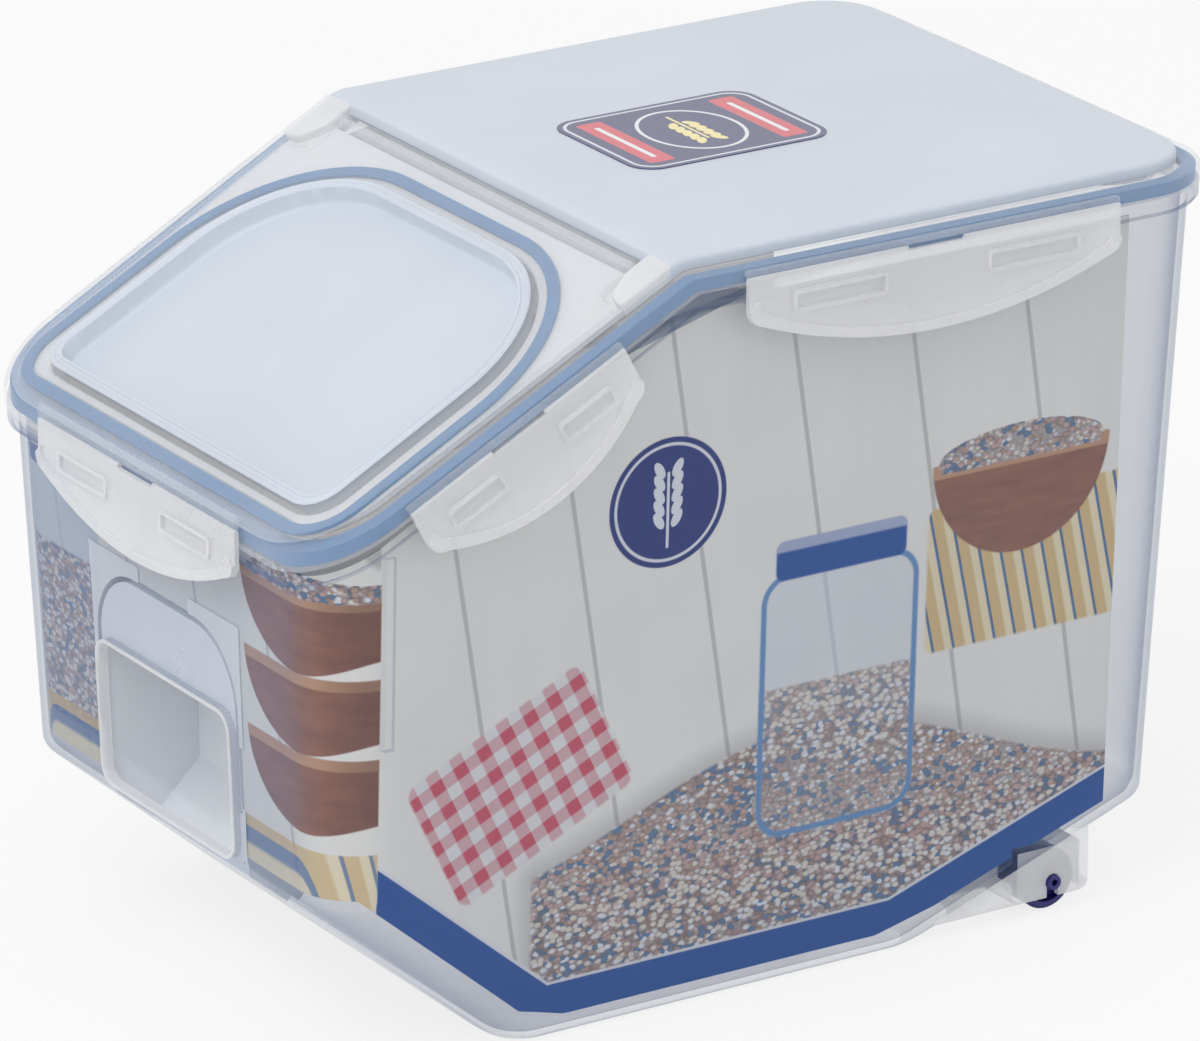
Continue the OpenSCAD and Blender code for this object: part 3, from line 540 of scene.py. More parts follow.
class Paint:
    """A material with one Principled shader and the nodes that feed it."""

    def __init__(self, name):
        self.material = bpy.data.materials.new(name)
        self.material.use_nodes = True
        self.tree = self.material.node_tree
        self.tree.nodes.clear()
        self.coat = None
        self.out = self.node("ShaderNodeOutputMaterial")
        self.shader = self.node("ShaderNodeBsdfPrincipled")
        self.tree.links.new(self.shader.outputs[0], self.out.inputs[0])
        self.where = self.node("ShaderNodeTexCoord").outputs["Object"]

    def node(self, kind):
        return self.tree.nodes.new(kind)

    def put(self, socket, value):
        if isinstance(value, Field):
            self.tree.links.new(value.socket, socket)
        elif isinstance(value, bpy.types.NodeSocket):
            self.tree.links.new(value, socket)
        else:
            socket.default_value = value

    def set(self, **sockets):
        for name, value in sockets.items():
            self.put(self.shader.inputs[name.replace("_", " ")], value)

    def axes(self):
        """The place on the piece in millimetres, as three fields."""
        split = self.node("ShaderNodeSeparateXYZ")
        self.put(split.inputs[0], self.where)
        return [Field(self, socket) * (1.0 / MM) for socket in split.outputs]

    def pattern(self, kind, size, stretch):
        """A texture node whose features are about that many millimetres across."""
        place = self.node("ShaderNodeMapping")
        self.put(place.inputs["Vector"], self.where)
        place.inputs["Scale"].default_value = [1.0 / (MM * size * k) for k in stretch]
        grain = self.node(kind)
        self.put(grain.inputs["Vector"], place.outputs[0])
        grain.inputs["Scale"].default_value = 1.0
        return grain

    def noise(self, size, detail=3.0, rough=0.5, stretch=(1.0, 1.0, 1.0)):
        """Cloudy grain."""
        grain = self.pattern("ShaderNodeTexNoise", size, stretch)
        grain.inputs["Detail"].default_value = detail
        grain.inputs["Roughness"].default_value = rough
        return Field(self, grain.outputs[0])

    def cells(self, size, stretch=(1.0, 1.0, 1.0)):
        """Cells like loose grains: distance from the middle, and a random value for each cell."""
        grains = self.pattern("ShaderNodeTexVoronoi", size, stretch)
        split = self.node("ShaderNodeSeparateColor")
        self.put(split.inputs[0], grains.outputs["Color"])
        return Field(self, grains.outputs["Distance"]), Field(self, split.outputs[0])

    def mix(self, under, over, share):
        """One colour laid over another by a share from 0 to 1."""
        node = self.node("ShaderNodeMix")
        node.data_type = "RGBA"
        self.put(node.inputs["Factor"], share)
        for socket, value in ((node.inputs[6], under), (node.inputs[7], over)):
            if isinstance(value, bpy.types.NodeSocket):
                self.put(socket, value)
            else:
                socket.default_value = (*value, 1.0)
        return node.outputs[2]

    def lay(self, over, share):
        """Prints one more colour on the coat, where the share is 1."""
        self.coat = self.mix(self.coat, over, share)

    def bump(self, height, strength, depth_mm):
        node = self.node("ShaderNodeBump")
        node.inputs["Strength"].default_value = strength
        node.inputs["Distance"].default_value = depth_mm * MM
        self.put(node.inputs["Height"], height)
        self.put(self.shader.inputs["Normal"], node.outputs[0])

    def rim_share(self, blend):
        """0 face on, towards 1 where the surface is seen at a shallow angle."""
        node = self.node("ShaderNodeLayerWeight")
        node.inputs["Blend"].default_value = blend
        return Field(self, node.outputs["Facing"])


CREAM, TAN, ROSE, SLATE = (0.80, 0.73, 0.64), (0.50, 0.35, 0.26), (0.60, 0.42, 0.37), (0.14, 0.24, 0.38)
WOOD_RIM, PALE = (0.60, 0.34, 0.18), (0.82, 0.82, 0.86)
BAND_HEIGHT = 11.5


def shade(rgb, factor):
    return tuple(min(1.0, c * factor) for c in rgb)


def plastic(name, rgb, face_alpha, edge_alpha, rough, grain=0.02, depth=0.04):
    """Moulded polypropylene: clear or frosted, with a faint flow pattern and fine grain."""
    paint = Paint(name)
    flow = paint.noise(38.0, 1.0, 0.45, (1.0, 1.6, 1.0))
    fine = paint.noise(1.1, 1.0, 0.6)
    paint.set(Base_Color=paint.mix(shade(rgb, 0.93), shade(rgb, 1.05), flow * 0.7 + fine * 0.3),
              Roughness=flow.spread(rough - 0.03, rough + 0.05) + fine * grain,
              IOR=1.49, Specular_IOR_Level=0.5)
    if edge_alpha < 1.0 or face_alpha < 1.0:
        share = paint.rim_share(0.3)
        paint.set(Alpha=share.power(1.7).spread(face_alpha, edge_alpha) + flow * 0.03)
    paint.bump(fine * 0.6 + flow * 0.4, 0.35, depth)
    return paint.material


def rubber(name, rgb):
    """Soft matt silicone with a faint clouding."""
    paint = Paint(name)
    cloud = paint.noise(9.0, 2.0, 0.5)
    fine = paint.noise(0.6, 2.0, 0.6)
    paint.set(Base_Color=paint.mix(shade(rgb, 0.9), shade(rgb, 1.12), cloud),
              Roughness=cloud.spread(0.42, 0.55), Specular_IOR_Level=0.4)
    paint.bump(fine, 0.3, 0.03)
    return paint.material


def wheel_nylon(name, rgb):
    """Dark moulded nylon with paler scuffs from rolling."""
    paint = Paint(name)
    cloud = paint.noise(6.0, 3.0, 0.55)
    scuff = paint.noise(1.4, 4.0, 0.7, (3.0, 1.0, 1.0))
    worn = scuff.over(0.62, 0.12) * 0.25
    paint.set(Base_Color=paint.mix(paint.mix(shade(rgb, 0.85), shade(rgb, 1.2), cloud),
                                   shade(rgb, 3.0), worn),
              Roughness=cloud.spread(0.28, 0.42))
    paint.bump(scuff, 0.25, 0.04)
    return paint.material


def square_of(field):
    return field * field


def disc(u, v, cu, cv, radius, soft=0.4):
    """A filled round spot."""
    return (square_of(u - cu) + square_of(v - cv)).root().under(radius, soft)


def round_plate(u, v, cu, cv, half_u, half_v, radius, soft=0.4):
    """A filled rectangle with rounded corners."""
    du = ((u - cu).size() - (half_u - radius)).most(0.0)
    dv = ((v - cv).size() - (half_v - radius)).most(0.0)
    return (square_of(du) + square_of(dv)).root().under(radius, soft)


def spot(u, v, cu, cv, radius_u, radius_v, soft=0.02):
    """A filled oval; the soft edge is a share of its radius."""
    return (square_of((u - cu) / radius_u) + square_of((v - cv) / radius_v)).root().under(1.0, soft)


def ear_of_grain(u, v, scale):
    """A plain stalk with five pairs of kernels, standing along v."""
    shape = round_plate(u, v, 0.0, -4.0 * scale, 0.8 * scale, 20.0 * scale, 0.7 * scale, 0.2)
    for step in range(5):
        for side in (-1.0, 1.0):
            du, dv = u - side * 5.2 * scale, v - (step * 6.6 - 9.0) * scale
            along, over = (du * (0.5 * side) + dv * 0.87), (du * 0.87 - dv * (0.5 * side))
            shape = shape.most(spot(over, along, 0.0, 0.0, 2.5 * scale, 5.0 * scale, 0.08))
    return shape


def sheet_ground(paint, colours, across, z):
    """Pale planks with dark joints between them."""
    plank = paint.noise(120.0, 4.0, 0.6, (1.0, 1.0, 6.0))
    streak = paint.noise(7.0, 4.0, 0.65, (1.0, 1.0, 22.0))
    paint.coat = paint.mix(shade(colours.paper, 0.90), shade(colours.paper, 1.16), plank * 0.6 + streak * 0.4)
    joint = ((across * 0.0236 + z * 0.004).part() - 0.5).size().over(0.482, 0.012)
    paint.lay(shade(colours.paper, 0.42), joint * 0.55)


def mixed_grain(paint):
    """Small grains of five colours."""
    gap, tone = paint.cells(2.1, (1.0, 1.0, 0.72))
    grain = paint.mix(CREAM, ROSE, tone.over(0.45, 0.02))
    grain = paint.mix(grain, TAN, tone.over(0.66, 0.02))
    grain = paint.mix(grain, SLATE, tone.over(0.82, 0.02))
    grain = paint.mix(grain, (0.82, 0.82, 0.84), tone.under(0.16, 0.02))
    return paint.mix(grain, (0.20, 0.15, 0.14), gap.over(0.52, 0.2) * 0.6)


def straw_stripes(paint, y, z):
    """Two tones of straw with thin dark blue lines."""
    mat = (y * 0.13 + z * 0.03).part()
    stripes = paint.mix((0.74, 0.52, 0.20), (0.90, 0.78, 0.50), mat.over(0.5, 0.1))
    return paint.mix(stripes, (0.05, 0.14, 0.32), mat.over(0.86, 0.04))


def print_sides(paint, colours, y, z, on_side, grain, stripes, wood):
    """Both sides of the sheet, in millimetres of y and z."""
    # straw mat at the rear, checked cloth at the front
    paint.lay(stripes, round_plate(y, z, 98.0, 122.0, 40.0, 24.0, 3.0, 1.0) * on_side * 0.92)
    along, over = (y * 0.9 + z * 0.44), (z * 0.9 - y * 0.44)
    checks = ((along * 0.11).part().over(0.5, 0.06) + (over * 0.11).part().over(0.5, 0.06)) * 0.5
    cloth = round_plate(along, over, -42.0, 116.0, 34.0, 24.0, 4.0, 1.0) * on_side
    paint.lay(paint.mix((0.84, 0.83, 0.82), colours.accent, checks), cloth * 0.95)

    # wooden bowl of grain on the mat
    bowl = spot(y, z, 92.0, 160.0, 33.0, 34.0) * z.under(160.0, 0.8) * on_side
    paint.lay(wood, bowl)
    paint.lay(WOOD_RIM, bowl * z.over(155.5, 0.6))
    paint.lay(grain, spot(y, z, 92.0, 160.0, 31.0, 9.0) * z.over(157.0, 0.8) * on_side)

    # long low heap of grain and its shadow
    crest = (y * 0.024 + 1.2).wave() * 17.0 + 66.0
    paint.lay((0.22, 0.20, 0.20), (z - crest).under(5.0, 8.0) * y.over(-88.0, 8.0) * on_side * 0.35)
    paint.lay(grain, (z - crest).under(0.0, 1.2) * y.over(-84.0, 1.5) * on_side)

    # pale glass jar half full of grain, with a blue lid
    jar = round_plate(y, z, 26.0, 92.0, 29.0, 44.0, 10.0, 0.8) * on_side
    paint.lay((0.70, 0.76, 0.82), jar * 0.5)
    paint.lay(grain, jar * z.under(98.0, 1.0) * 0.8)
    paint.lay((0.16, 0.32, 0.58), jar * (1.0 - round_plate(y, z, 26.0, 92.0, 27.0, 42.0, 8.0, 0.8)))
    jar_lid = round_plate(y, z, 26.0, 140.0, 24.0, 6.5, 3.0, 0.8) * on_side
    paint.lay(colours.band, jar_lid)
    paint.lay((0.70, 0.77, 0.88), jar_lid * z.over(143.0, 0.8) * 0.6)

    # round seal with an ear of grain
    paint.lay(colours.navy, disc(y, z, -38.0, 168.0, 21.0) * on_side)
    ring = disc(y, z, -38.0, 168.0, 19.2) - disc(y, z, -38.0, 168.0, 18.2)
    paint.lay((0.84, 0.86, 0.90), (ring + ear_of_grain(y + 38.0, z - 168.0, 0.62)) * on_side)

    # band that follows the lower edge
    front_line = (z - (5.5 + (-82.0 - y) * 0.856)) * 0.76
    rear_line = (z - (5.5 + (y - 50.0) * 0.344)) * 0.945
    edge = (z - 5.5).least(front_line).least(rear_line)
    paint.lay(colours.band, edge.under(BAND_HEIGHT, 0.4) * on_side)
    paint.lay((0.80, 0.82, 0.86), edge.over(BAND_HEIGHT, 0.4) * edge.under(BAND_HEIGHT + 0.9, 0.4) * on_side)


def print_front(paint, colours, x, z, on_front, grain, stripes, wood):
    """The sheet's front, in millimetres of x and z: a tall glass and a stack of wooden bowls."""
    glass = round_plate(x, z, -66.0, 112.0, 26.0, 44.0, 6.0, 0.8) * on_front
    paint.lay((0.60, 0.68, 0.78), glass * 0.6)
    paint.lay(grain, glass * z.under(126.0, 1.0) * 0.85)
    paint.lay(colours.band, glass * z.over(150.0, 0.6) * 0.8)
    for low in (94.0, 120.0, 146.0):
        brim = low + 11.0
        bowl = spot(x, z, 78.0, brim, 30.0, 26.0) * z.under(brim, 0.8) * on_front
        paint.lay(wood, bowl)
        paint.lay(WOOD_RIM, bowl * z.over(brim - 3.5, 0.6))
        paint.lay((0.13, 0.05, 0.03), bowl * x.over(90.0, 10.0) * 0.5)
    paint.lay(grain, spot(x, z, 78.0, 157.0, 27.0, 7.0) * z.over(156.0, 0.8) * on_front)
    paint.lay(stripes, z.under(74.0, 0.5) * on_front * 0.8)


def printed_sheet(name, colours):
    """Generic kitchen print: pale planks, jars and bowls of mixed grain and a blue band."""
    paint = Paint(name)
    x, y, z = paint.axes()
    on_side = x.size().over(84.0, 0.5) * y.over(-138.5, 0.5)
    sheet_ground(paint, colours, y * on_side + x * (1.0 - on_side), z)
    wood = paint.mix((0.20, 0.075, 0.03), (0.46, 0.20, 0.09), paint.noise(16.0, 4.0, 0.6, (1.0, 1.0, 0.25)))
    shared = mixed_grain(paint), straw_stripes(paint, y, z), wood
    print_sides(paint, colours, y, z, on_side, *shared)
    print_front(paint, colours, x, z, 1.0 - on_side, *shared)
    fine = paint.noise(0.5, 2.0, 0.5)
    paint.set(Base_Color=paint.coat, Roughness=fine.spread(0.38, 0.5), Specular_IOR_Level=0.35)
    paint.bump(paint.noise(60.0, 2.0, 0.4) + fine * 0.02, 0.3, 0.5)
    return paint.material


def plain_card(name, rgb):
    """The unprinted back of the sheet, with a faint fibre pattern."""
    paint = Paint(name)
    fibre = paint.noise(2.5, 3.0, 0.6, (1.0, 1.0, 4.0))
    paint.set(Base_Color=paint.mix(shade(rgb, 0.92), rgb, fibre), Roughness=fibre.spread(0.55, 0.7))
    paint.bump(fibre, 0.2, 0.03)
    return paint.material


def label_film(name, colours):
    """Generic sticker: navy ground with a framed edge, an ear of grain and a red band at each end."""
    paint = Paint(name)
    x, y, _ = paint.axes()
    # u runs towards the rear of the bin, v across it, both from the label's middle
    v, u = (x - LABEL_MIDDLE[0]), (y - LABEL_MIDDLE[1])
    fine = paint.noise(0.9, 3.0, 0.6)
    paint.coat = paint.mix(shade(colours.navy, 0.55), shade(colours.navy, 0.75), fine)
    paint.lay(colours.accent, round_plate(v, u.size(), 0.0, 24.5, 22.0, 4.6, 1.2, 0.2))
    paint.lay(PALE, round_plate(v, u.size(), 0.0, 24.5, 17.0, 0.9, 0.8, 0.2))
    paint.lay(PALE, spot(v, u, 0.0, 0.0, 20.5, 16.5))
    paint.lay(shade(colours.navy, 0.7), spot(v, u, 0.0, 0.0, 19.3, 15.3))
    paint.lay((0.90, 0.78, 0.34), ear_of_grain(u, v, 0.62))
    frame_line = round_plate(v, u, 0.0, 0.0, 26.2, 34.2, 7.5) - round_plate(v, u, 0.0, 0.0, 25.2, 33.2, 6.7)
    paint.lay((0.72, 0.74, 0.82), frame_line)
    paint.set(Base_Color=paint.coat, Roughness=fine.spread(0.2, 0.3), Coat_Weight=0.4, Coat_Roughness=0.1)
    paint.bump(fine, 0.15, 0.03)
    return paint.material


def surface(name):
    """The named surface, made from the bin's colours when it is first asked for."""
    if name in bpy.data.materials:
        return bpy.data.materials[name]
    colours = bpy.context.scene.bin_colours
    makers = {
        "Clear plastic": lambda: plastic(name, colours.clear, 0.045, 0.85, 0.08),
        # The pocket's plastic is painted paler and more opaque than the clear plastic: painted light where the
        # pocket's nested walls shade it.
        "Pocket plastic painted paler": lambda: plastic(name, colours.rim, 0.72, 0.92, 0.24),
        "Frosted plastic": lambda: plastic(name, colours.frosted, 0.92, 0.98, 0.40, 0.06, 0.08),
        "Rim plastic": lambda: plastic(name, colours.rim, 0.11, 0.46, 0.16),
        "Frame plastic": lambda: plastic(name, colours.milky, 0.68, 0.92, 0.28, 0.04, 0.06),
        "Milky plastic": lambda: plastic(name, colours.milky, 0.48, 0.88, 0.26, 0.04, 0.05),
        "Silicone": lambda: rubber(name, colours.seal),
        "Wheel nylon": lambda: wheel_nylon(name, colours.wheel),
        "Printed sheet": lambda: printed_sheet(name, colours),
        "Top label film": lambda: label_film(name, colours),
        "Plain card": lambda: plain_card(name, colours.paper),
    }
    return makers[name]()


# ---------- pieces ----------

def span(side, near, far):
    """Low and high x of a stretch that lies from near to far on one side of the middle."""
    return sorted((side * near, side * far))


def block(outline, low, high, axis="z", place=None):
    draft = Draft()
    draft.prism(outline, low, high, axis, place=place)
    return draft.object("Block")


def arch(grow):
    """The hand grip's round-headed outline, grown all round."""
    half, radius = GRIP_HALF + grow, ARCH_R + grow
    return ([(half, -PAST)] + arc(ARCH_X, ARCH_Z, radius, 0, 90, 10) + arc(-ARCH_X, ARCH_Z, radius, 90, 180, 10)
            + [(-half, -PAST)])


def rounded(half_u, half_v, radius, steps=6, cu=0.0, cv=0.0):
    """Rounded rectangle, anticlockwise."""
    points = []
    for k, (su, sv) in enumerate(((1, 1), (-1, 1), (-1, -1), (1, -1))):
        points += arc(cu + su * (half_u - radius), cv + sv * (half_v - radius), radius,
                      90 * k, 90 * k + 90, steps)
    return points


def tub_piece(form):
    """The tub's shell with its collar, wheel housings, stacking ribs and catches, still closed below."""
    outer = Draft()
    outer.loft(form.tub_rows(0.0, TUB_TOP_N), caps=True)
    tub = outer.object("Tub")

    extras = Draft()
    collar = [(0.8, -6.5), (0.8, -10.9), (2.0, -11.1), (2.0, -12.3), (4.6, -12.3), (4.6, -6.5)]  # inset, n
    extras.loft([form.lid_loop(inset, n) for inset, n in collar], round_trip=True)
    front, top = 64.0, 7.5
    housing = [(front, 5.5), (HOUSING_REAR - 3.0, 5.5), (HOUSING_REAR - 0.9, 6.4), (HOUSING_REAR, 8.5),
               (HOUSING_REAR, form.rear_bevel_z(HOUSING_REAR) + top), (front, form.rear_bevel_z(front) + top)]
    rib_x, rib_drop, rib_end, half = form.tub_half_w(form.front_rim - 33) + 0.6, 64, 2, 1.5
    lean = (rib_drop - rib_end) / 2 * form.draft
    for sx in (-1, 1):
        extras.prism(housing, *span(sx, HOUSING_X, form.housing_side), "x")
        rows = []
        for drop, shift in ((rib_drop, -lean), (rib_end, lean)):
            x0, x1 = sx * (rib_x - half + shift), sx * (rib_x + half + shift)
            rows.append([(x, y, form.front_rim - drop)
                         for x, y in ((x0, -140.1), (x1, -139.6), (x1, -136.4), (x0, -135.9))])
        extras.loft(rows, caps=True)
    for name, (_, _, width, _, _) in FLAPS.items():
        for end in (-1, 1):
            mid, half = end * width * SLOT_PLACE, width * 0.1
            extras.box((-6.0, mid - half, -10.0), (-0.15, mid + half, -8.0), form.flap_place(name))
    carve(tub, extras.object("Extras"), operation="UNION")

    inner = Draft()
    inner.loft(form.tub_rows(form.wall, TUB_TOP_N + 2.0), caps=True)
    carve(tub, inner.object("Inside"))
    return tub


def grip_tools(form):
    """The pocket's block and the two cutters that hollow it and open its window."""
    front = form.tub_front(form.bevel_f)
    back, low = front + GRIP_DEPTH, 57.0
    lean = form.bevel_f / (form.base_f - front)
    top_y = form.tub_front(POCKET_TOP)

    def arched(walls, grow):
        return carve(block(walls, -60.0, 60.0, "x"), block(arch(grow), top_y - 30.0, back + 20.0, "y"),
                     operation="INTERSECT")

    outer, floor = back + GRIP_SKIN, low - 0.8
    knee = (floor + (outer - form.base_f) * lean - 1.0) / (1 + lean)
    on_bevel = front + 2.0
    grown = arched([(on_bevel, (form.base_f - on_bevel) * lean + 1.0), (top_y + 1.1, POCKET_TOP),
                    (outer, POCKET_TOP), (outer, floor), (outer - knee, floor - knee)], GRIP_SKIN)
    head = POCKET_TOP - 2.0
    cut = arched([(front + 4.0, -5.0), (front + 4.0, 56.0), (front + 2.2, 56.0),
                  (form.tub_front(head) + 2.2, head), (back, head), (back, low), (back - low - 5.0, -5.0)], 0.0)
    window = block(rounded(GRIP_HALF, WINDOW_HALF, WINDOW_R, 6, 0.0, WINDOW_Z),
                   -form.half_l - PAST, front + 12.0, "y")
    return grown, cut, window


def finish_tub(form, tub):
    """Adds the grip pocket and the wheel wells, and opens both."""
    grown, cut, window = grip_tools(form)
    carve(tub, grown, operation="UNION")
    wells, hollows, axles = Draft(), Draft(), Draft()
    inner_side, inner_rear, roof = form.housing_side - HOUSING_SKIN, HOUSING_REAR - HOUSING_SKIN, 23.7
    front, rear, low = 79.8, WELL_FRONT, -1.0
    keyhole = [(AXLE_Y - 2.2, 0.0)] + arc(AXLE_Y, AXLE_Z, AXLE_R, 215, -35, 16) + [(AXLE_Y + 2.2, 0.0)]
    for sx in (-1, 1):
        x0, x1 = span(sx, HOUSING_X, form.housing_side)
        wells.box((x0, rear, form.rear_bevel_z(rear) + 1.1), (x1, HOUSING_REAR, roof))
        x0, x1 = span(sx, HOUSING_X + HOUSING_SKIN, inner_side)
        hollows.prism([(front, low), (rear, low), (rear, form.rear_bevel_z(rear) - 0.3),
                       (front, form.rear_bevel_z(front) - 0.3)], x0, x1, "x")
        hollows.box((x0, rear + HOUSING_SKIN, low), (x1, inner_rear, roof - HOUSING_SKIN))
        axles.prism(keyhole, *span(sx, HOUSING_X - 1.0, form.housing_side + 1.0), "x")
    carve(tub, wells.object("Wells"), operation="UNION")
    carve(tub, cut, window, hollows.object("Hollows"), axles.object("Axle holes"))
    return tub


def milky_parts(form, mesh):
    """Gives the grip pocket's faces the second surface, a paler plastic that is painted light standing in for
    the light its nested walls shade off, and those of the wheel housings the third.
    """
    front = form.tub_front(form.bevel_f)
    lean = form.bevel_f / (form.base_f - front)
    pocket_rear, pocket_low, pocket_top, largest = front + GRIP_DEPTH + 2.5, 12.0, 131.0, 0.012
    for polygon in mesh.polygons:
        x, y, z = (c / MM for c in polygon.center)
        behind_wall = form.tub_front(max(z, form.bevel_f)) + 1.6 < y < pocket_rear
        above_bevel = z + (y - form.base_f) * lean > 1.0
        in_arch = abs(x) < GRIP_HALF + 2.2 and pocket_low < z < pocket_top
        if behind_wall and in_arch and above_bevel and polygon.area < largest:
            polygon.material_index = 1
        if abs(x) > HOUSING_X - 0.5 and 63.0 < y < HOUSING_REAR + 0.5 and z < form.rear_bevel_z(y) - 0.2:
            polygon.material_index = 2


def strip_cap(draft, row, half_count, rear_run, front_run, skin):
    """Closes a loop that is its own mirror image with strips from side to side."""
    def mirror(k):
        return (len(row) - k) % len(row)

    rear = [mirror(k) for k in range(rear_run, 0, -1)] + list(range(rear_run + 1))
    strips = [[k, k + 1, mirror(k + 1), mirror(k)] for k in range(rear_run, front_run - 1)]
    front = list(range(front_run - 1, half_count))
    front += [mirror(k) for k in range(half_count - 2, front_run - 2, -1)]
    faces = [rear, *strips, front]
    draft.add(row, faces, [skin] * len(faces))


def panel_row(form, inset, n, s):
    """A loop of the raised panel: the level outline, over the bend, and across its nose at s."""
    nose_y = form.on_slope(0, s, n)[1]
    half = [p for p in form.lid_half(inset) if p[1] > -20.5]
    side = form.half_w - inset
    first = half[-1][1]
    steps = 14
    half += [(side, first + (nose_y - first) * k / steps) for k in range(1, steps + 1)]
    corner_at = len(half) - 1
    half += [(side * (1 - k / 4), nose_y) for k in range(1, 5)]
    loop = [(x, y, form.on_slope(0, s, n)[2] if k >= corner_at else form.rim_z(y, n))
            for k, (x, y) in enumerate(half)]
    return loop + [(-x, y, z) for x, y, z in reversed(loop[1:-1])], len(half), corner_at


def slope_polygon(form, inset, near):
    """The lid's outline at an inset, laid on the slope as x against s, from near to the front."""
    points = [(x, (form.bend - y) / math.cos(form.slope)) for x, y in form.lid_half(inset)
              if y < form.bend - 6.0]
    side = form.half_w - inset
    half = [(0.0, near), (side - 0.1, near)] + points
    return mirrored(half)


def bearings_of(centre, corners, count=168):
    """Even bearings round the centre, and those of both sides' corners."""
    found = [2 * math.pi * k / count for k in range(count)]
    found += [math.atan2(s - centre[1], sx * x - centre[0]) % (2 * math.pi)
              for x, s in corners for sx in (-1, 1)]
    return sorted(found)


def on_slope_row(form, loop, n):
    """A loop of x against s as points on the slope, raised by n."""
    return [form.on_slope(x, s, n) for x, s in loop]


def flap_base(form, draft, name, out, low_x=-0.9, top=2.65):
    """The ledge that a flap hangs on; its underside leans, clear of the open flap."""
    width = FLAPS[name][2]
    foot = 0.95
    outline = [(low_x, foot), (0.9, foot), (out, foot + (out - 0.9) * 0.51), (out, top - 0.6),
               (out - 0.25, top - 0.2), (out - 0.7, top), (low_x, top)]
    draft.prism(outline, -width / 2, width / 2, "y", 1, form.flap_place(name))


def cheek_rows(form, sx):
    """A hinge cheek beside the flip lid: a wedge with a round shoulder, softened at its top."""
    mid_x, mid_s = CHEEK_MIDDLE
    outline = [(86.3, 1.4), (99.3, 1.4), (99.1, 8.0), (98.9, 14.0), (98.7, 22.0), (95.5, 22.0), (92.6, 21.2),
               (90.4, 19.3), (88.9, 16.8), (87.6, 14.2), (86.6, 12.6), (86.3, 11.2)]
    rows = []
    for shrink, n in ((0.0, -1.5), (0.0, 2.0), (0.25, 2.6), (0.8, 2.95), (1.4, 3.05)):
        across, down = 1 - shrink / 6.5, 1 - shrink / 10.5
        rows.append([form.on_slope(sx * (mid_x + (x - mid_x) * across), mid_s + (s - mid_s) * down, n)
                     for x, s in outline])
    return rows


def main_lid_piece(form):
    """The clip-on lid: rim with its seal channel, rear panel, slope frame, hinge trough and cheeks."""
    lid = Draft()
    rim = [(0.0, -6.2), (0.0, -3.0), (0.12, -2.2), (0.45, -1.5), (1.0, -0.9), (1.8, -0.4), (2.8, -0.1),
           (3.6, 0.0), (5.2, 0.0), (5.45, -0.5), (6.45, -0.5), (6.7, 0.0), (9.7, 0.0), (9.7, -1.8),
           (8.8, -1.8), (8.8, -9.0), (7.0, -9.0), (7.0, -1.8), (1.8, -1.8), (1.8, -6.2)]  # inset, n
    lid.loft([form.lid_loop(inset, n) for inset, n in rim], round_trip=True, skin=1)

    panel = [(9.6, 1.3, 0.6), (9.6, -0.7, 2.2), (8.0, -0.7, 3.98), (8.0, 0.5, 3.98), (8.04, 1.6, 3.2),
             (8.2, 2.4, 2.64), (8.55, 2.85, 2.3), (9.1, 3.07, 1.9), (9.8, 3.1, 1.4)]  # inset, n, s
    made = [panel_row(form, *row) for row in panel]
    _, count, corner_at = made[0]
    lid.loft([row for row, _, _ in made], skin=0)
    for row in (made[0][0], made[-1][0]):
        strip_cap(lid, row, count, 2, corner_at, 0)

    bearings = bearings_of(SCOOP_CENTRE, [(form.half_w - 9.7, FRAME_NEAR)])
    border = star_loop(slope_polygon(form, 9.5, FRAME_NEAR), SCOOP_CENTRE, bearings)
    opening, throat, soft = (star_loop(mirrored(scoop_half(shrink)), SCOOP_CENTRE, bearings)
                             for shrink in (0.0, -1.8, -0.5))
    lid.loft([on_slope_row(form, loop, n) for loop, n in (
        (border, -1.7), (border, -0.1), (soft, -0.1), (opening, -0.6), (opening, -6.0), (throat, -6.0),
        (throat, -1.7))], round_trip=True, skin=2)

    trough = [(2.3, -0.6), (2.3, -4.2), (11.6, -4.2), (11.6, -0.15), (10.1, -0.15), (10.1, -2.45),
              (3.95, -2.45), (3.95, -0.6)]  # s, n
    lid.loft([[form.on_slope(x, s, n) for s, n in trough] for x in (-86.6, 86.6)], caps=True, skin=1)
    for sx in (-1, 1):
        lid.loft(cheek_rows(form, sx), caps=True, skin=2)
    for name in ("side_right", "side_left", "slope_right", "slope_left", "rear"):
        flap_base(form, lid, name, 1.5)
    return lid.object("Main_lid")


def flip_polygon(form, inset):
    """The flip lid's outline, x against s, with notches round the hinge cheeks."""
    lean = math.tan(form.taper) * math.cos(form.slope)
    side, r = form.half_w - form.panel_in - 1.0, 26.0
    corner_s = form.slope_l - r
    corner_x = side - corner_s * lean - r * math.hypot(1, lean)
    notch, inner = NOTCH_S + inset, NOTCH_X - inset
    half = [(0.0, form.hinge_s), (inner, form.hinge_s), (inner, notch - NOTCH_R - inset)]
    half += arc(inner + NOTCH_R, notch - NOTCH_R, NOTCH_R, 180, 90, 5)
    half += [(side - inset - notch * lean, notch)]
    half += arc(corner_x, corner_s, r - inset, -math.degrees(math.atan(lean)), 90, 16)
    half += [(0.0, form.slope_l - inset)]
    return mirrored(half)


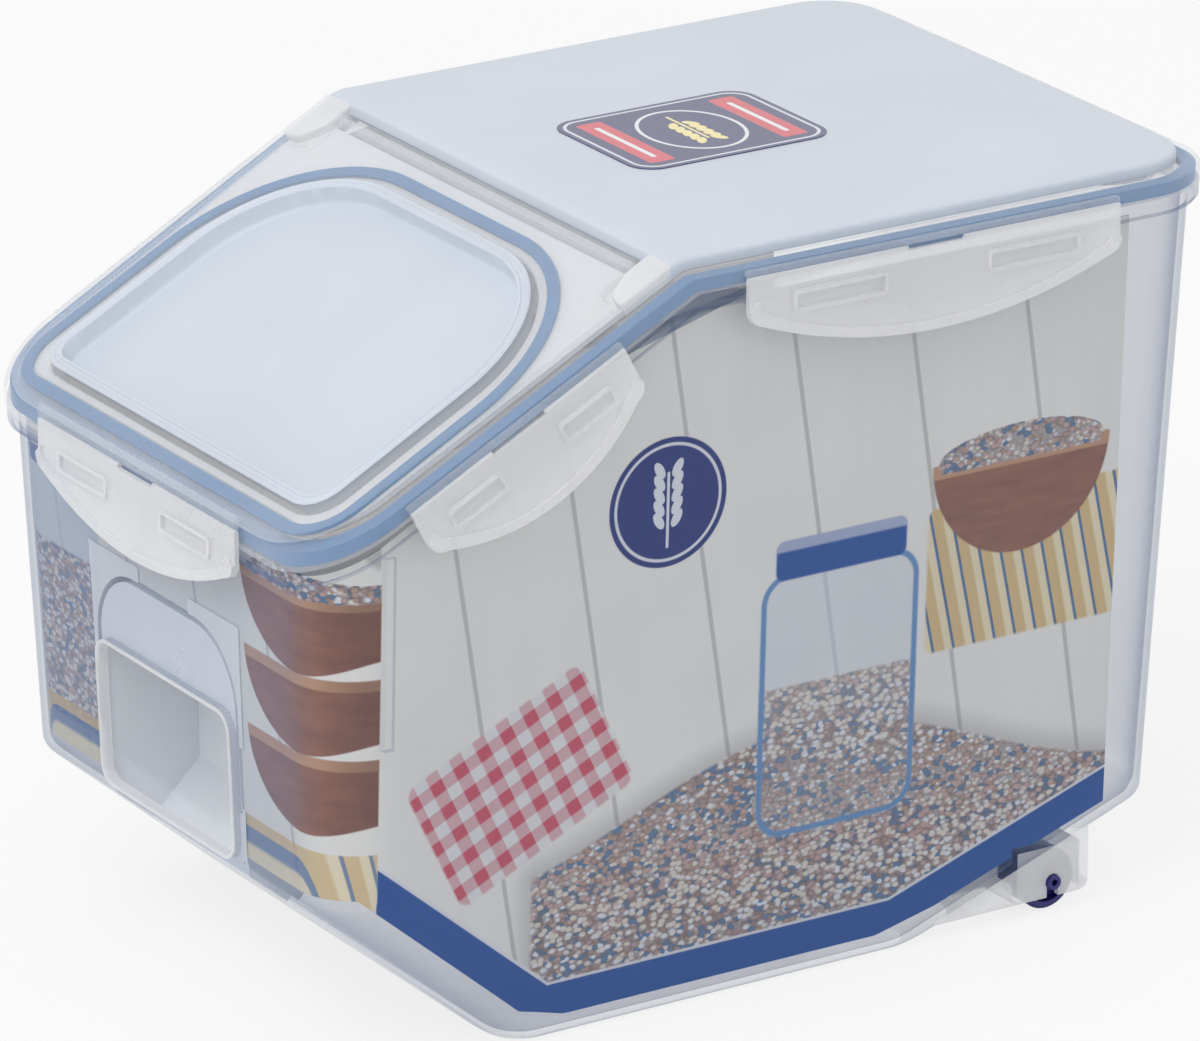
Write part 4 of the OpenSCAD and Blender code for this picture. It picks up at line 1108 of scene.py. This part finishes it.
def flip_lid_piece(form):
    """The flip lid: frosted dish, double ridge, clear rim, skirt, hinge barrel and pins."""
    bearings = bearings_of(SCOOP_CENTRE, [(NOTCH_X, form.hinge_s), (NOTCH_X, NOTCH_S - NOTCH_R),
                                          (NOTCH_X + NOTCH_R, NOTCH_S), (97.6, NOTCH_S)])

    def dee(shrink):
        return star_loop(mirrored(scoop_half(shrink)), SCOOP_CENTRE, bearings)

    def rim(inset):
        return star_loop(flip_polygon(form, inset), SCOOP_CENTRE, bearings)

    rows = [(dee(inset), n, 0) for inset, n in (
        (6.4, -3.1), (5.6, -2.5), (5.25, -1.8), (5.1, 3.2), (4.8, 3.6), (4.4, 3.7), (4.0, 3.6), (3.75, 3.15),
        (3.3, 2.95), (2.75, 2.95), (2.35, 3.3), (2.0, 3.6), (1.6, 3.6), (1.2, 3.3), (0.9, 2.9))]
    rows += [(rim(inset), n, 1) for inset, n in (
        (1.1, 2.9), (0.45, 2.75), (0.12, 2.45), (0.0, 2.0), (0.0, 0.2), (1.5, 0.2), (1.6, 1.3))]
    rows += [(dee(3.2), 1.3, 1), (dee(3.5), -4.2, 0), (dee(5.0), -4.7, 0)]
    lid = Draft()
    lid.loft([on_slope_row(form, loop, n) for loop, n, _ in rows], caps=True,
             skin=[skin for _, _, skin in rows[1:]])
    for reach, radius, steps in ((HINGE_HALF, HINGE_R, 28), (PIN_END, PIN_R, 20)):
        lid.tube(*(form.on_slope(x, form.hinge_s, form.hinge_n) for x in (-reach, reach)), radius, steps, 1)
    top = form.front_rim - form.front_axis_z + form.flip_top / math.cos(form.slope)
    flap_base(form, lid, "front", 1.65, 0.15, top)
    return lid.object("Flip_lid")


def flap_piece(form, name):
    """A clip flap: hinge bead, plate with a bowed lower edge, lower lip and two framed slots."""
    width = FLAPS[name][2]
    half, drop = width / 2, form.flap_drop
    sag = drop - form.flap_end
    radius = (half * half + sag * sag) / (2 * sag)
    reach, steps = half - FLAP_CORNER_R, 28

    def low(y):
        return radius - drop - math.sqrt(radius * radius - y * y)

    def corner(sx):
        return [(sx * (reach + FLAP_CORNER_R * math.sin(t)),
                 low(reach) + FLAP_CORNER_R * (1 - math.cos(t)) + 0.4 * math.sin(t))
                for t in (math.pi / 2 * k / 6 for k in range(1, 7))]

    def slots_of(shrink, half_v, corner_r, low_x, high_x):
        for sx in (-1, 1):
            outline = rounded(width * SLOT_SHARE - shrink, half_v, corner_r, 4, sx * width * SLOT_PLACE, SLOT_Z)
            yield outline, low_x, high_x, "x", 0, place

    bottom = [(y, low(y)) for y in (-reach + 2 * reach * k / steps for k in range(steps + 1))]
    edge = corner(-1)[::-1] + bottom + corner(1)
    top = [(half, 0.3), (10.6, 0.3), (10.0, -0.8), (-10.0, -0.8), (-10.6, 0.3), (-half, 0.3)]
    place = form.flap_place(name)
    flap = block(edge + top, 0.2, 1.8, "x", place)
    lip, slots, bead = Draft(), Draft(), Draft()
    rim = 3.0
    inner = [(y * (1 - rim / half), z + rim) for y, z in edge]
    lip.prism(edge + inner[::-1], 0.6, 2.9, "x", place=place)
    for prism in slots_of(0.0, 3.5, 1.6, 0.6, 2.9):
        lip.prism(*prism)
    carve(flap, lip.object("Lip"), operation="UNION")
    for prism in slots_of(1.1, 2.4, 0.9, 1.3, 4.0):
        slots.prism(*prism)
    carve(flap, slots.object("Slots"))
    for start, end in ((-half, -10.3), (10.3, half)):
        bead.tube((1.0, start, 0.0), (1.0, end, 0.0), 0.8, 20, place=place)
    carve(flap, bead.object("Bead"), operation="UNION")
    flap.name = "Flap_" + name
    flap.data.name = flap.name
    return flap


def grip_lip_piece(form):
    """The smooth lip that lines the window of the hand grip."""
    rows = []
    for shrink, depth in ((0.04, 3.2), (0.04, -0.2), (0.25, -0.55), (0.8, -0.6), (1.3, -0.3), (1.5, 0.3),
                          (1.5, 3.2)):
        ring = rounded(GRIP_HALF - shrink, WINDOW_HALF - shrink, WINDOW_R - shrink, 8, 0.0, WINDOW_Z)
        rows.append([(x, form.tub_front(z) + depth, z) for x, z in ring])
    lip = Draft()
    lip.loft(rows, round_trip=True)
    return lip.object("Grip_lip")


def sheet_piece(form):
    """The printed sheet: a thin wall that follows the sides and the front inside the tub."""
    front_lean = form.bevel_f / (form.base_f - form.tub_front(form.bevel_f))
    highest_foot, middle = 59.0, 120.0

    def low(y):
        front = PAPER_FOOT + (form.base_f + PAST - y) * front_lean
        rear = PAPER_FOOT + (y - form.base_r + PAST) * form.bevel_lean
        return min(highest_foot, max(PAPER_FOOT, front, rear))

    def path(z, inset):
        points = form.tub_half(z, inset)
        return [(points[14][0], PAPER_REAR)] + points[15:]

    rows = []
    for station in range(len(path(middle, PAPER_INSETS[0]))):
        sides = []
        for inset in PAPER_INSETS:
            line = []
            for k in range(PAPER_LEVELS + 1):
                z = middle
                for _ in range(4):
                    x, y = path(z, inset)[station]
                    z = low(y) + (form.rim_z(y, -12.0) - low(y)) * k / PAPER_LEVELS
                line.append((x, y, z))
            sides.append(line)
        rows.append(sides[0] + sides[1][::-1])
    rows += [[(-x, y, z) for x, y, z in row] for row in reversed(rows[:-1])]
    sheet = Draft()
    sheet.loft(rows, caps=True)
    sheet = sheet.object("Print")
    front = block(arch(2.1), -form.half_l, -form.half_l + 70.0, "y")
    wells = Draft()
    for sx in (-1, 1):
        x0, x1 = span(sx, HOUSING_X - 1.0, 98.0)
        wells.box((x0, WELL_FRONT - 0.3, 5.0), (x1, HOUSING_REAR + 0.3, 24.0))
    return carve(sheet, front, wells.object("Wells"))


def label_piece(form):
    """The thin label on the rear panel, with a softened edge."""
    label = Draft()
    low = form.rim + form.panel_up
    rows = []
    for shrink, rise in ((0.0, 0.0), (0.0, 0.2), (0.12, 0.3)):
        ring = rounded(LABEL_HALF[0] - shrink, LABEL_HALF[1] - shrink, LABEL_R - shrink, 10, *LABEL_MIDDLE)
        rows.append([(x, y, low + rise) for x, y in ring])
    label.loft(rows, caps=True)
    return label.object("Label")


# ---------- operators ----------

class BIN_OT_tub(bpy.types.Operator):
    """Build the tub with its collar, hand grip, wheel housings, stacking ribs and catches"""
    bl_idname = "bin.tub"
    bl_label = "Tub"
    bl_options = {"REGISTER", "UNDO"}

    def execute(self, context):
        form = BinForm(context.scene.bin_sizes)
        tub = finish_tub(form, tub_piece(form))
        milky_parts(form, tub.data)
        # The second skin is the pocket's plastic, painted paler as painted light in the pocket's shade.
        skins = [surface(name) for name in ("Clear plastic", "Pocket plastic painted paler", "Milky plastic")]
        dress(tub, "tub", skins, ["body"], crease=32)
        dress(grip_lip_piece(form), "tub", [surface("Milky plastic")])
        return {"FINISHED"}


class BIN_OT_main_lid(bpy.types.Operator):
    """Build the clip-on lid: rim, raised rear panel, slope frame, hinge cheeks and flap bases"""
    bl_idname = "bin.main_lid"
    bl_label = "Main lid"
    bl_options = {"REGISTER", "UNDO"}

    def execute(self, context):
        form = BinForm(context.scene.bin_sizes)
        dress(main_lid_piece(form), "lid",
              [surface("Frosted plastic"), surface("Rim plastic"), surface("Frame plastic")], ["main_lid"])
        return {"FINISHED"}


class BIN_OT_flip_lid(bpy.types.Operator):
    """Build the flip lid over the scoop opening, with its ridged dish, hinge barrel and pins"""
    bl_idname = "bin.flip_lid"
    bl_label = "Flip lid"
    bl_options = {"REGISTER", "UNDO"}

    def execute(self, context):
        form = BinForm(context.scene.bin_sizes)
        dress(flip_lid_piece(form), "flip",
              [surface("Frosted plastic"), surface("Rim plastic")], ["flip_lid"])
        return {"FINISHED"}


class BIN_OT_flaps(bpy.types.Operator):
    """Build the six clip flaps round the lids"""
    bl_idname = "bin.flaps"
    bl_label = "Clip flaps"
    bl_options = {"REGISTER", "UNDO"}

    def execute(self, context):
        form = BinForm(context.scene.bin_sizes)
        for name, (_, _, _, node, body) in FLAPS.items():
            dress(flap_piece(form, name), body, [surface("Milky plastic")], [node], 0.28)
        return {"FINISHED"}


class BIN_OT_print(bpy.types.Operator):
    """Build the printed sheet inside the tub and the label on the lid"""
    bl_idname = "bin.print"
    bl_label = "Sheet and label"
    bl_options = {"REGISTER", "UNDO"}

    def execute(self, context):
        form = BinForm(context.scene.bin_sizes)
        sheet = sheet_piece(form)
        turned, front_y = 0.3, -0.13
        for polygon in sheet.data.polygons:
            x, y, _ = polygon.center
            inward = polygon.normal.x * math.copysign(1.0, x) < -turned
            if inward or (y < front_y and polygon.normal.y > turned):
                polygon.material_index = 1
        skins = [surface("Printed sheet"), surface("Plain card")]
        dress(sheet, "tub", skins, ["printed_sheet"])
        dress(label_piece(form), "lid", [surface("Top label film")], ["top_label"])
        return {"FINISHED"}


class BIN_OT_small_parts(bpy.types.Operator):
    """Finish the seals, the wheels and the measuring cup, whose shapes come from the frame"""
    bl_idname = "bin.small_parts"
    bl_label = "Seals, wheels and cup"
    bl_options = {"REGISTER", "UNDO"}

    def execute(self, context):
        finishes = {"main_gasket": "Silicone", "flip_gasket": "Silicone", "wheel_right": "Wheel nylon",
                    "wheel_left": "Wheel nylon", "measuring_cup": "Milky plastic"}
        for node, finish in finishes.items():
            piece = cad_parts[node]
            piece.data.materials.clear()
            piece.data.materials.append(surface(finish))
            soften(piece, 0.25, 50.0)
        return {"FINISHED"}


class BIN_OT_stage(bpy.types.Operator):
    """Set up the floor, the even light, the soft lamps and the camera"""
    bl_idname = "bin.stage"
    bl_label = "Stage"
    bl_options = {"REGISTER", "UNDO"}

    def execute(self, context):
        settings = context.scene.bin_stage
        build_floor(context.scene.bin_colours.floor)
        build_world(context.scene, settings.sky)
        build_lamps(settings)
        build_camera(context.scene)
        context.scene.view_settings.view_transform = "Standard"
        context.scene.cycles.transparent_max_bounces = 24
        return {"FINISHED"}


# ---------- stage ----------

CAMERA_PLACE, CAMERA_AIM_Z, CAMERA_LENS, CAMERA_SHIFT_Y = (2.2921, -1.4526, 1.1277), 0.11742, 277.1, 0.01623
WHITE = (1.0, 1.0, 1.0, 1.0)


def seen_directly(tree):
    """1 for rays from the camera, from gloss and through glass; 0 for rays that light things."""
    path = tree.nodes.new("ShaderNodeLightPath")
    share = path.outputs["Is Camera Ray"]
    for name in ("Is Glossy Ray", "Is Transmission Ray"):
        most = tree.nodes.new("ShaderNodeMath")
        most.operation = "MAXIMUM"
        tree.links.new(share, most.inputs[0])
        tree.links.new(path.outputs[name], most.inputs[1])
        share = most.outputs[0]
    return share


def build_floor(colour_value):
    """A wide round floor that looks pale by itself and keeps the bin's shadow."""
    mesh = bpy.data.meshes.new("Floor")
    radius, steps = 14.0, 64
    rim = [(x, y, 0.0) for x, y in arc(0.0, 0.0, radius, 0, 360, steps)[:steps]]
    mesh.from_pydata(rim, [], [range(steps)])
    floor = bpy.data.objects.new("Floor", mesh)
    bpy.context.scene.collection.objects.link(floor)
    paint = Paint("Floor")
    cloud = paint.noise(900.0, 2.0, 0.5)
    paint.set(Base_Color=paint.mix(shade(colour_value, 0.99), shade(colour_value, 1.01), cloud),
              Roughness=0.9, Specular_IOR_Level=0.1)
    glow = paint.node("ShaderNodeEmission")
    both = paint.node("ShaderNodeMixShader")
    paint.put(both.inputs[0], Field(paint, seen_directly(paint.tree)) * 0.8)
    paint.tree.links.new(paint.shader.outputs[0], both.inputs[1])
    paint.tree.links.new(glow.outputs[0], both.inputs[2])
    paint.tree.links.new(both.outputs[0], paint.out.inputs[0])
    mesh.materials.append(paint.material)


def build_world(scene, strength):
    """Even light from all round, with plain white behind it."""
    world = bpy.data.worlds.new("Even light")
    scene.world = world
    world.use_nodes = True
    tree = world.node_tree
    tree.nodes.clear()
    out = tree.nodes.new("ShaderNodeOutputWorld")
    sky, white = (tree.nodes.new("ShaderNodeBackground") for _ in range(2))
    sky.inputs["Strength"].default_value = strength
    sky.inputs["Color"].default_value = WHITE
    white.inputs["Color"].default_value = WHITE
    both = tree.nodes.new("ShaderNodeMixShader")
    tree.links.new(seen_directly(tree), both.inputs[0])
    tree.links.new(sky.outputs[0], both.inputs[1])
    tree.links.new(white.outputs[0], both.inputs[2])
    tree.links.new(both.outputs[0], out.inputs[0])


def look_at(thing, height):
    """Turns a lamp or camera towards the bin's axis at that height."""
    aim = Vector((0.0, 0.0, height)) - thing.location
    thing.rotation_euler = aim.to_track_quat("-Z", "Y").to_euler()


def build_lamps(settings):
    for name, place, width, power in (("Key", (0.5, -1.4, 1.9), 1.4, settings.key_power),
                                      ("Fill", (1.7, 1.1, 1.0), 1.2, settings.fill_power)):
        data = bpy.data.lights.new(name, "AREA")
        data.shape = "SQUARE"
        data.size = width
        data.energy = power
        lamp = bpy.data.objects.new(name, data)
        bpy.context.scene.collection.objects.link(lamp)
        lamp.location = place
        look_at(lamp, 0.12)


def build_camera(scene):
    data = bpy.data.cameras.new("Camera")
    data.lens = CAMERA_LENS
    data.sensor_width = 36.0
    data.sensor_fit = "HORIZONTAL"
    data.shift_y = CAMERA_SHIFT_Y
    data.clip_start = 0.05
    camera = bpy.data.objects.new("Camera", data)
    scene.collection.objects.link(camera)
    camera.location = CAMERA_PLACE
    look_at(camera, CAMERA_AIM_Z)
    scene.camera = camera


# ---------- panel ----------

class BIN_PT_panel(bpy.types.Panel):
    """Sidebar panel of the rice bin"""
    bl_idname = "BIN_PT_panel"
    bl_label = "Rice bin"
    bl_space_type = "VIEW_3D"
    bl_region_type = "UI"
    bl_category = "Rice bin"

    def draw(self, context):
        layout = self.layout
        for title, group in (("Sizes", context.scene.bin_sizes), ("Colours", context.scene.bin_colours),
                             ("Stage", context.scene.bin_stage)):
            box = layout.box()
            box.label(text=title)
            for key in group.__annotations__:
                box.prop(group, key)
        column = layout.column(align=True)
        for operator in OPERATORS:
            column.operator(operator.bl_idname)


OPERATORS = (BIN_OT_tub, BIN_OT_main_lid, BIN_OT_flip_lid, BIN_OT_flaps, BIN_OT_print, BIN_OT_small_parts,
             BIN_OT_stage)
CLASSES = (BinSizes, BinColours, StageSettings) + OPERATORS + (BIN_PT_panel,)


def register():
    for cls in CLASSES:
        bpy.utils.register_class(cls)
    bpy.types.Scene.bin_sizes = PointerProperty(type=BinSizes)
    bpy.types.Scene.bin_colours = PointerProperty(type=BinColours)
    bpy.types.Scene.bin_stage = PointerProperty(type=StageSettings)


def unregister():
    del bpy.types.Scene.bin_stage
    del bpy.types.Scene.bin_colours
    del bpy.types.Scene.bin_sizes
    for cls in reversed(CLASSES):
        bpy.utils.unregister_class(cls)


def main():
    register()
    bpy.ops.bin.stage()
    bpy.ops.bin.tub()
    bpy.ops.bin.main_lid()
    bpy.ops.bin.flip_lid()
    bpy.ops.bin.flaps()
    bpy.ops.bin.print()
    bpy.ops.bin.small_parts()


if __name__ == "__main__":
    main()
